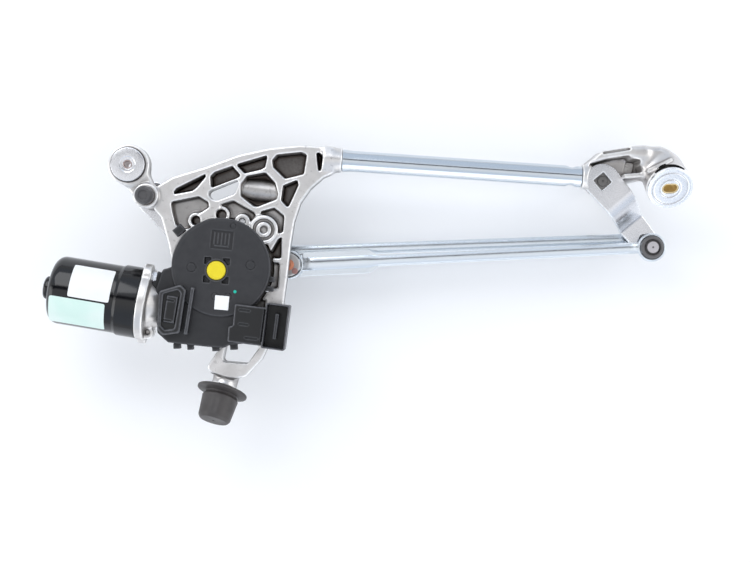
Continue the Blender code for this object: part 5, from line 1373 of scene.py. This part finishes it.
@dataclass
class Output:
    """The crank with its rivet and nut, under the gears."""

    hub: float = 15.0
    tip: float = 11.0

    def build(self) -> None:
        """Carve the crank, turn its rivet, paint mark and nut, and dress its shaft."""
        ball, top, thick = PLACE.crank_ball, PLACE.crank_top, PLACE.plate
        field = Field((70, -122, top - thick - 1), (165, -74, top + 1), 0.45)
        plan = field.link(PLACE.output, ball, self.hub, self.tip)
        field.add(field.slab(plan, top - thick, top, 0.7))
        field.cut(field.slab(field.circle(PLACE.output, 5.3), -90, 0),
                  field.slab(field.circle(ball, 3.8), -90, 0))
        dress(field.piece("crank_plate", 0.5), DARK_STEEL, Body.CRANK, "motor_crank")
        corners = ((0, top + 1.9), (2.6, top + 1.9), (5.2, top + 0.9), (5.4, top + 0.3), (3.5, top + 0.3),
                   (3.5, top - thick + 0.3), (0, top - thick + 0.3))
        rivet = turned("crank_rivet", filleted(corners, (0, 0.8, 0.5, 0.1, 0.1, 0.2, 0), False),
                       Axes((*ball, 0.0)), 48)
        dress(rivet, COPPER, Body.CRANK, "crank_pin_rivet")
        spot = turned("crank_paint_mark",
                      filleted(((0, top + 0.3), (2.4, top + 0.2), (3.0, top + 0.02), (0, top + 0.02)),
                                                   (0, 0.3, 0, 0), False),
                                                   Axes((ball[0] + 6.0, ball[1] - 6.0, 0.0)), 32)
        dress(spot, RED_PAINT, Body.CRANK)
        low = top - thick - 0.3
        corners = ((5.3, low), (8.9, low), (9.8, low - 0.6), (9.8, low - 4.4), (8.9, low - 5), (5.3, low - 5))

        def hexagon(turn: Array, height: Array) -> Array:
            """Return the six flats of the nut."""
            return np.minimum(to_hexagon(turn, NUT_APOTHEM, NUT_CORNER), 0) * (height < low + 1)

        nut = turned("crank_hex_nut", np.array(corners), Axes((*PLACE.output, 0.0)), 72, hexagon)
        dress(nut, ZINC, Body.CRANK, "crank_nut")
        dress_node("output_shaft", TURNED)


@dataclass
class Pressing:
    """A lever pressed from plate: two round ends, a bend between them, and its holes."""

    name: str
    body: Body
    start: Point
    end: Point
    start_z: float
    end_z: float
    replaced: str
    holes: tuple
    hub: float = 17.0
    tip: float = 12.0
    bend_start: float = 24.0
    bend_end: float = 52.0
    thick: float = 4.0
    square: float = 8.6

    def build(self) -> None:
        """Carve the lever in its own directions, lifting the plate by a soft step along it, and dress it."""
        run = np.array(self.end) - np.array(self.start)
        length = float(np.linalg.norm(run))
        axes = Axes((*self.start, 0.0), side=(*run, 0.0))
        low, high = min(self.start_z, self.end_z), max(self.start_z, self.end_z) + self.thick
        field = Field((-self.hub - 2, -self.hub - 2, low - 2),
                      (length + self.tip + 2, self.hub + 2, high + 2), 0.5, axes)
        share = np.clip((field.x - self.bend_start) / (self.bend_end - self.bend_start), 0, 1)
        shift = self.start_z + (self.end_z - self.start_z) * share * share * (1.2 - 0.2 * share * share)
        shift = np.where(share >= 1, self.end_z,
                         np.minimum(shift, self.start_z) if self.end_z < self.start_z else shift)
        plan = field.link((0, 0), (length, 0), self.hub, self.tip)
        field.add(field.slab(plan, 0.0, self.thick, 0.55, shift=shift))
        hole = field.turned_box((0, 0), (self.square, self.square), 0.0, -90, 60, 0.2)
        field.cut(hole, blend=0.5)
        for spot in self.holes:
            local = axes.local(np.array([[*spot, 0.0]]))[0]
            field.cut(field.slab(field.circle(local, 3.8), -90, 60), blend=0.3)
        dress(field.piece(self.name + "_plate", 0.5), ZINC, self.body, self.replaced)


@dataclass
class Spindle:
    """A wiper spindle: a journal, a square seat, a knurled taper, a thread and a centre hole."""

    name: str
    body: Body
    axis: Point
    top: float
    square_low: float
    square_high: float
    radius: float = 5.0
    end: float = -82.0
    thread: float = 11.0
    knurl: float = 9.0
    seat: float = 4.0

    def build(self) -> None:
        """Turn the spindle with its knurl, thread and square, and dress it.

        The knurl adds a sharp wave in the turn, the thread a wave in height plus turn, and the square
        draws the radius in to its half side over the cosine of the turn from a flat.
        """
        taper = self.end + self.thread
        heights = np.concatenate([[self.top], np.linspace(self.top - 1, self.top - 2, 2),
                                  np.linspace(self.top - 2.2, self.square_high + 0.05, 12),
                                  np.linspace(self.square_high, self.square_low, 8),
                                  np.linspace(self.square_low - 0.05, taper + self.knurl, 40),
                                  np.linspace(taper + self.knurl - 0.3, taper, 14),
                                  np.linspace(taper - 0.05, self.end + 0.6, 70), [self.end]])
        radii = np.interp(heights,
                          [self.end, self.end + 0.6, taper - 0.05, taper, taper + self.knurl, self.top - 0.7,
                                    self.top], [2.9, 3.5, 3.5, 4.2, 5.0, 5.0, 4.4])
        corner = max(self.seat * 1.34, self.radius)
        within = (heights >= self.square_low) & (heights <= self.square_high)
        radii = np.where(within, corner, radii)
        hole = [(1.0, self.top), (1.0, self.top - 1.4), (0.0, self.top - 2.2)]
        profile = np.concatenate([np.array(hole[::-1]), np.stack([radii, heights], -1), [[0.0, self.end]]])
        park = PLACE.park

        def relief(turn: Array, height: Array) -> Array:
            """Return the knurl, the thread and the square seat."""
            knurled = (height < taper + self.knurl - 0.2) & (height > taper)
            threaded = (height < taper - 0.4) & (height > self.end + 0.4)
            seat = (height >= self.square_low) & (height <= self.square_high)
            flat = (turn - park + math.pi / 4) % (math.pi / 2) - math.pi / 4
            wave = np.abs(((turn * 36 / (2 * math.pi)) % 1) - 0.5)
            pitch = np.abs(((height - turn / (2 * math.pi)) % 1) - 0.5)
            to_square = np.minimum(self.seat / np.cos(flat) - corner, 0)
            return knurled * (wave - 0.35) * 0.7 + threaded * (pitch - 0.3) * 0.9 + seat * to_square

        axes = Axes((*self.axis, 0.0))
        dress(turned(self.name + "_turning", profile, axes, 216, relief), TURNED, self.body, self.name)


@dataclass
class BallJoint:
    """A ball stud and the moulded socket that snaps over it."""

    stud: str
    socket: str
    stud_body: Body
    socket_body: Body
    spot: Point
    plate_z: float
    ball_z: float
    ball_way: int
    ball: float = 5.5
    socket_radius: float = 10.5

    def build(self) -> None:
        """Turn the stud and the socket, whose closed end carries a raised button, and dress them."""
        reach = abs(self.ball_z - self.plate_z)
        axes = Axes((*self.spot, self.plate_z), (0, 0, self.ball_way))
        turn = np.radians(np.linspace(38, 180, 24))
        ball = np.stack([self.ball * np.sin(turn), reach - self.ball * np.cos(turn)], -1)
        neck = reach - self.ball * math.cos(turn[0])
        profile = np.concatenate([[(0, 0), (3.5, 0), (3.5, neck)], ball])
        profile[-1, 0] = 0
        dress(turned(self.stud + "_turning", profile, axes, 48), TURNED, self.stud_body, self.stud)
        axes = Axes((*self.spot, self.ball_z), (0, 0, self.ball_way))
        inner, closed, mouth = self.ball + 0.3, self.ball + 1.6, 4.0
        lip = math.asin(mouth / inner)
        turn = np.linspace(-lip, math.pi / 2, 22)
        cup = np.stack([inner * np.cos(turn), inner * np.sin(turn)], -1)[::-1]
        cup[0, 0] = 0
        outer = self.socket_radius
        corners = ((inner * math.cos(lip), -mouth), (outer, -mouth), (outer, 1.6), (outer + 0.6, 3.0),
                   (outer + 0.2, 5.2),
                   (outer - 1.0, 6.4), (outer - 2.4, 6.2), (outer - 3.4, 3.6), (6.2, 3.6),
                   (6.0, closed - 0.2),
                   (5.4, closed), (0, closed))
        outside = filleted(corners, (0, 0.4, 0.8, 1.0, 0.9, 0.8, 0.8, 0.6, 0.5, 0.4, 0.3, 0), False, 4)
        profile = np.concatenate([cup, outside[1:]])
        dress(turned(self.socket + "_moulding", profile, axes, 80), ACETAL, self.socket_body, self.socket)
        button = filleted(((0.9, closed + 0.02), (5.6, closed + 0.02), (5.4, closed + 0.7),
                           (0.9, closed + 0.8)),
                          (0.05, 0.1, 0.4, 0.2), True, 3)
        dress(turned(self.socket + "_button", button, axes, 64), BUTTON, self.socket_body)


@dataclass
class ConnectingRod:
    """A rod pressed to a hat section, with a flat eye at each end and, on one rod, a wide root."""

    name: str
    body: Body
    start: Point
    end: Point
    top: float
    wide: bool
    half: float = 5.5
    crown: float = 4.1
    height: float = 7.0
    wall: float = 1.6
    eye: float = 14.0
    root_half: float = 11.7
    root_crown: float = 5.8
    root_end: float = 76.0
    neck_end: float = 88.0

    def build(self) -> None:
        """Skin the rod through its sections, turn its eyes, and dress them."""
        run = np.array(self.end) - np.array(self.start)
        length = float(np.linalg.norm(run))
        reach = self.eye - 4.5
        neck = np.linspace(self.root_end, self.neck_end, 9) if self.wide else np.zeros(0)
        spots = np.unique(np.concatenate([reach + 1.2 * (1 - np.cos(np.linspace(0, 1.57, 5))), neck,
                                          np.linspace(reach + 2, length - reach - 2, 120),
                                          length - reach - 1.2 * (1 - np.cos(np.linspace(0, 1.57, 5)))]))
        rings = np.stack([self.section(spot, length) for spot in spots])
        axes = Axes((*self.start, 0.0), side=(*run, 0.0))
        rod = skinned(self.name + "_channel", axes.place(rings.reshape(-1, 3)).reshape(rings.shape))
        dress(rod, ROD_ZINC, self.body, self.name)
        low = self.top - self.height + 1.5
        corners = ((10.8, low), (10.8, low + 3), (12.0, low + 3.9), (13.2, low + 3.9),
                   (self.eye, low + 2.6), (self.eye, low))
        for label, spot in (("start", self.start), ("end", self.end)):
            ring = turned(self.name + "_eye_" + label, filleted(corners, 0.5), Axes((*spot, 0.0)), 96)
            dress(ring, ROD_ZINC, self.body, self.name)

    def section(self, spot: float, length: float) -> Array:
        """Return the section at a place along the rod, as a closed ring of points.

        Its half widths pass from the root's to the rod's by a cubic step between the root's end and the
        neck's, and its crown sinks to the eye's level at both ends.

        Args:
            spot: The place along the rod.
            length: The distance between the rod's ends.

        Returns:
            The points of the ring, in the rod's own directions.
        """
        share = np.clip((spot - self.root_end) / (self.neck_end - self.root_end), 0, 1) if self.wide else 1.0
        share = share * share * (3 - 2 * share)
        half = self.root_half + (self.half - self.root_half) * share
        crown = self.root_crown + (self.crown - self.root_crown) * share
        ends = np.clip((min(spot, length - spot) - self.eye + 4) / 14, 0, 1)
        ends = ends * ends * (3 - 2 * ends)
        flat = self.top - self.height + 4.6
        top = flat + 0.4 + (self.top - flat - 0.4) * ends
        shoulder = min(flat + (self.top - 1.3 - flat) * ends * share, top - 0.35)
        low = self.top - self.height + 1.5 * (1 - ends * share)
        wall, rim = self.wall, 0.45
        right = ((crown - 0.25, top), (crown, top - 0.15), (crown + 0.45, shoulder), (half - rim, shoulder),
                 (half, shoulder - rim), (half, low + 0.2), (half - 0.2, low), (half - wall, low),
                 (half - wall, shoulder - wall), (crown - wall * 0.6, shoulder - wall),
                 (crown - wall, top - wall))
        return np.array([(spot, y, z) for y, z in right] + [(spot, -y, z) for y, z in right[::-1]])


@dataclass
class Bearings:
    """The sintered bearings, the retaining ring and the driver's cap."""

    bore: float = 5.15
    outer: float = 7.65
    spans: tuple = ((PLACE.driver, -40.0, 12.0, "driver_bearing"),
                    (PLACE.passenger, -52.0, -16.3, "passenger_bearing"))

    def build(self) -> None:
        """Turn the bearings, the ring and the cap, and dress them."""
        for spot, low, high, name in self.spans:
            corners = ((self.bore, low), (self.bore, high), (self.outer, high), (self.outer, low))
            dress(turned(name + "_sleeve", filleted(corners, 0.5), Axes((*spot, 0.0)), 64), BRONZE,
                  Body.FRAME, name)
        dress_node("passenger_retaining_ring", TURNED)
        self.cap()

    def cap(self) -> None:
        """Turn the driver's cap: a skirt, a bevel with ribs and a dished top."""
        corners = ((5.4, 13.2), (8.4, 13.2), (8.6, 15.5), (8.6, 22.5), (7.6, 25.2), (7.0, 27.0),
                   (4.6, 27.0), (4.2, 25.6),
                   (0, 25.6), (0, 14.6), (5.4, 14.6))
        radii = (0.3, 0.5, 0.3, 0.8, 0.5, 0.6, 0.4, 0.5, 0, 0, 0.2)
        profile = filleted(corners, radii, True, 4)
        steps = int(np.argmin(np.abs(profile[:, 0]) + np.abs(profile[:, 1] - 25.6)))
        profile = np.roll(profile, -steps - 1, 0)
        profile[0, 0] = profile[-1, 0] = 0.0

        def ribs(turn: Array, height: Array) -> Array:
            """Return shallow grip ribs round the skirt: a power of the cosine of twelve turns."""
            band = (height > 15.8) & (height < 22.0)
            return 0.3 * band * np.maximum(np.cos(12 * turn), 0) ** 3 * (height > 0)

        cap = turned("spindle_cap_moulding", profile, Axes((*PLACE.driver, 0.0)), 144, ribs)
        dress(cap, CAP_PLASTIC, Body.FRAME, "driver_spindle_cap")


@dataclass
class Screws:
    """The flanged screws that hold the gear unit to the frame from below."""

    spots: tuple = ((107.5, -53.5), (50.0, -118.0), (131.0, -117.5))
    seat: float = -12.3
    head: float = 4.0

    def build(self) -> None:
        """Turn each screw's head as a hexagon on a flange, with its shank, and dress it."""
        low = self.seat - self.head
        corners = ((0, low), (4.3, low), (4.6, low + 0.4), (4.6, self.seat - 1.1), (5.4, self.seat - 0.8),
                   (5.4, self.seat), (2.7, self.seat), (2.7, 6.5), (0, 6.5))

        def hexagon(turn: Array, height: Array) -> Array:
            """Return the six flats below the flange."""
            return (height < self.seat - 1.15) * to_hexagon(turn, SCREW_APOTHEM, SCREW_CORNER)

        for index, spot in enumerate(self.spots):
            name = "gearbox_screw_" + str(index + 1)
            profile = filleted(corners, 0.2, False, 3)
            dress(turned(name + "_head", profile, Axes((*spot, 0.0)), 60, hexagon), ZINC, Body.FRAME, name)


@dataclass
class Inside:
    """The pieces inside the housings, which stay as imported and get their finishes."""

    finishes: tuple = (("armature", WINDING), ("worm_wheel", NYLON), ("field_magnet_1", MAGNET),
                       ("field_magnet_2", MAGNET))

    def build(self) -> None:
        """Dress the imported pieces."""
        for name, finish in self.finishes:
            dress_node(name, finish)


@dataclass
class Studio:
    """The pale floor, the soft lights, the white surroundings and the camera over the part."""

    floor_z: float = -0.086
    spot: Point = (0.2328, -0.1102, 1.25)
    lens: float = 63.2
    sensor: float = 36.0
    shades: tuple = ((0.72, 0.80, 0.92), (1.02, 1.03, 1.05), (0.01, 0.01, 0.015), (0.74, 0.74, 0.75))

    def build(self) -> None:
        """Set the stage."""
        self.floor()
        self.world()
        self.lights()
        self.camera()

    def floor(self) -> None:
        """Make the pale floor, on which the part's shadow falls."""
        size = 2000.0
        corners = np.array([[-size, -size, 0], [size, -size, 0], [size, size, 0], [-size, size, 0]], float)
        corners[:, 2] = self.floor_z / MM
        piece = make_piece("floor", corners, np.array([[0, 1, 2, 3]]), tidy=False)
        material = bpy.data.materials.new("pale floor")
        material.use_nodes = True
        shader = material.node_tree.nodes["Principled BSDF"]
        shader.inputs["Base Color"].default_value = (0.93, 0.93, 0.935, 1.0)
        shader.inputs["Roughness"].default_value = 0.9
        piece.data.materials.append(material)

    def world(self) -> None:
        """Make a white room with a dark strip beside the zenith.

        The shade goes by a direction's share along Y: white about the zenith but for a narrow dark strip
        on its upper side, and pale blue far to both sides. The camera sees plain white.
        """
        world = bpy.data.worlds.new("white room")
        bpy.context.scene.world = world
        world.use_nodes = True
        tree = world.node_tree
        back = tree.nodes["Background"]
        place = node(tree, "ShaderNodeTexCoord")
        way = node(tree, "ShaderNodeSeparateXYZ", {0: place.outputs["Generated"]})
        side, rise = way.outputs[1], way.outputs[2]
        cool, white, dark, low = ((*shade, 1.0) for shade in self.shades)
        shade = blend_node(tree, ramp_node(tree, side, 0.25, 0.55), white, cool)
        shade = blend_node(tree, ramp_node(tree, side, -0.12, -0.62), shade, cool)
        strip = math_node(tree, "ABSOLUTE", math_node(tree, "SUBTRACT", side, 0.21))
        strip = math_node(tree, "MULTIPLY", ramp_node(tree, strip, 0.06, 0.12, 1.0, 0.0),
                          ramp_node(tree, rise, 0.2, 0.5))
        shade = blend_node(tree, strip, shade, dark)
        shade = blend_node(tree, ramp_node(tree, rise, 0.25, -0.05), shade, low)
        ray = node(tree, "ShaderNodeLightPath")
        seen = math_node(tree, "MAXIMUM", ray.outputs["Is Camera Ray"], ray.outputs["Is Transmission Ray"])
        tree.links.new(blend_node(tree, seen, shade, (1.0, 1.0, 1.0, 1.0)), back.inputs["Color"])
        back.inputs["Strength"].default_value = 1.0

    def lights(self) -> None:
        """Place soft boxes low at the sides and a key above, towards the top left of the picture."""
        plan = (("key", (-0.35, 0.75, 0.95), 0.9, 6.0), ("left", (-0.85, -0.25, 0.35), 0.7, 2.5),
                ("right", (1.25, 0.15, 0.45), 0.8, 3.0), ("low", (0.35, -1.05, 0.40), 0.9, 2.5))
        for name, spot, size, power in plan:
            light = bpy.data.lights.new(name, "AREA")
            light.shape = "SQUARE"
            light.size = size
            light.energy = power
            holder = bpy.data.objects.new(name, light)
            holder.location = spot
            away = np.array(spot) - np.array((0.23, -0.08, 0.0))
            turn = math.atan2(away[1], away[0])
            tilt = math.acos(away[2] / float(np.linalg.norm(away)))
            holder.rotation_euler = (0.0, tilt, turn)
            bpy.context.scene.collection.objects.link(holder)

    def camera(self) -> None:
        """Look straight down from over the middle of the part."""
        lens = bpy.data.cameras.new("camera")
        lens.lens = self.lens
        lens.sensor_width = self.sensor
        eye = bpy.data.objects.new("camera", lens)
        eye.location = self.spot
        bpy.context.scene.collection.objects.link(eye)
        bpy.context.scene.camera = eye
        bpy.context.scene.view_settings.view_transform = "Standard"


def main() -> None:
    """Build the sub-assemblies in order, and set the stage."""
    logging.basicConfig(level=logging.INFO, format="%(message)s")
    passenger, driver = PLACE.passenger, PLACE.driver
    levers = (
        Pressing("passenger_lever", Body.PASSENGER, passenger, PLACE.outer_ball, -16.0, -46.0,
                 "passenger_lever",
                 (PLACE.outer_ball, PLACE.inner_ball), square=12.4),
        Pressing("driver_lever", Body.DRIVER, driver, PLACE.driver_ball, -46.0, -46.0, "driver_lever",
                 (PLACE.driver_ball,)))
    spindles = (Spindle("passenger_spindle", Body.PASSENGER, passenger, -11.0, -15.8, -13.3, seat=6.0),
                Spindle("driver_spindle", Body.DRIVER, driver, 14.0, -46.0, -42.0))
    joints = (
        BallJoint("outer_ball_stud", "drive_rod_lever_socket", Body.PASSENGER, Body.DRIVE_ROD,
                  PLACE.outer_ball,
                  -46.0, -37.5, 1),
        BallJoint("crank_ball_stud", "drive_rod_crank_socket", Body.DRIVE_ROD, Body.DRIVE_ROD,
                  PLACE.crank_ball,
                  -26.9, -37.5, -1),
        BallJoint("inner_ball_stud", "coupling_rod_passenger_socket", Body.PASSENGER, Body.COUPLING_ROD,
                  PLACE.inner_ball, -42.0, -52.5, -1),
        BallJoint("driver_ball_stud", "coupling_rod_driver_socket", Body.DRIVER, Body.COUPLING_ROD,
                  PLACE.driver_ball, -42.0, -52.5, -1))
    rods = (ConnectingRod("drive_rod", Body.DRIVE_ROD, PLACE.crank_ball, PLACE.outer_ball, -34.0, True),
            ConnectingRod("coupling_rod", Body.COUPLING_ROD, PLACE.driver_ball, PLACE.inner_ball, -49.0,
                          False))
    assemblies = (FrameCasting(), SupportTube(), PivotCasting(), Bushes(), RubberFoot(), GearHousing(),
                  WiperMotor(),
                  GearCover(), Output(), *levers, *spindles, *joints, *rods, Bearings(), Screws(), Inside(),
                  Studio())
    for assembly in assemblies:
        assembly.build()


if __name__ == "__main__":
    main()
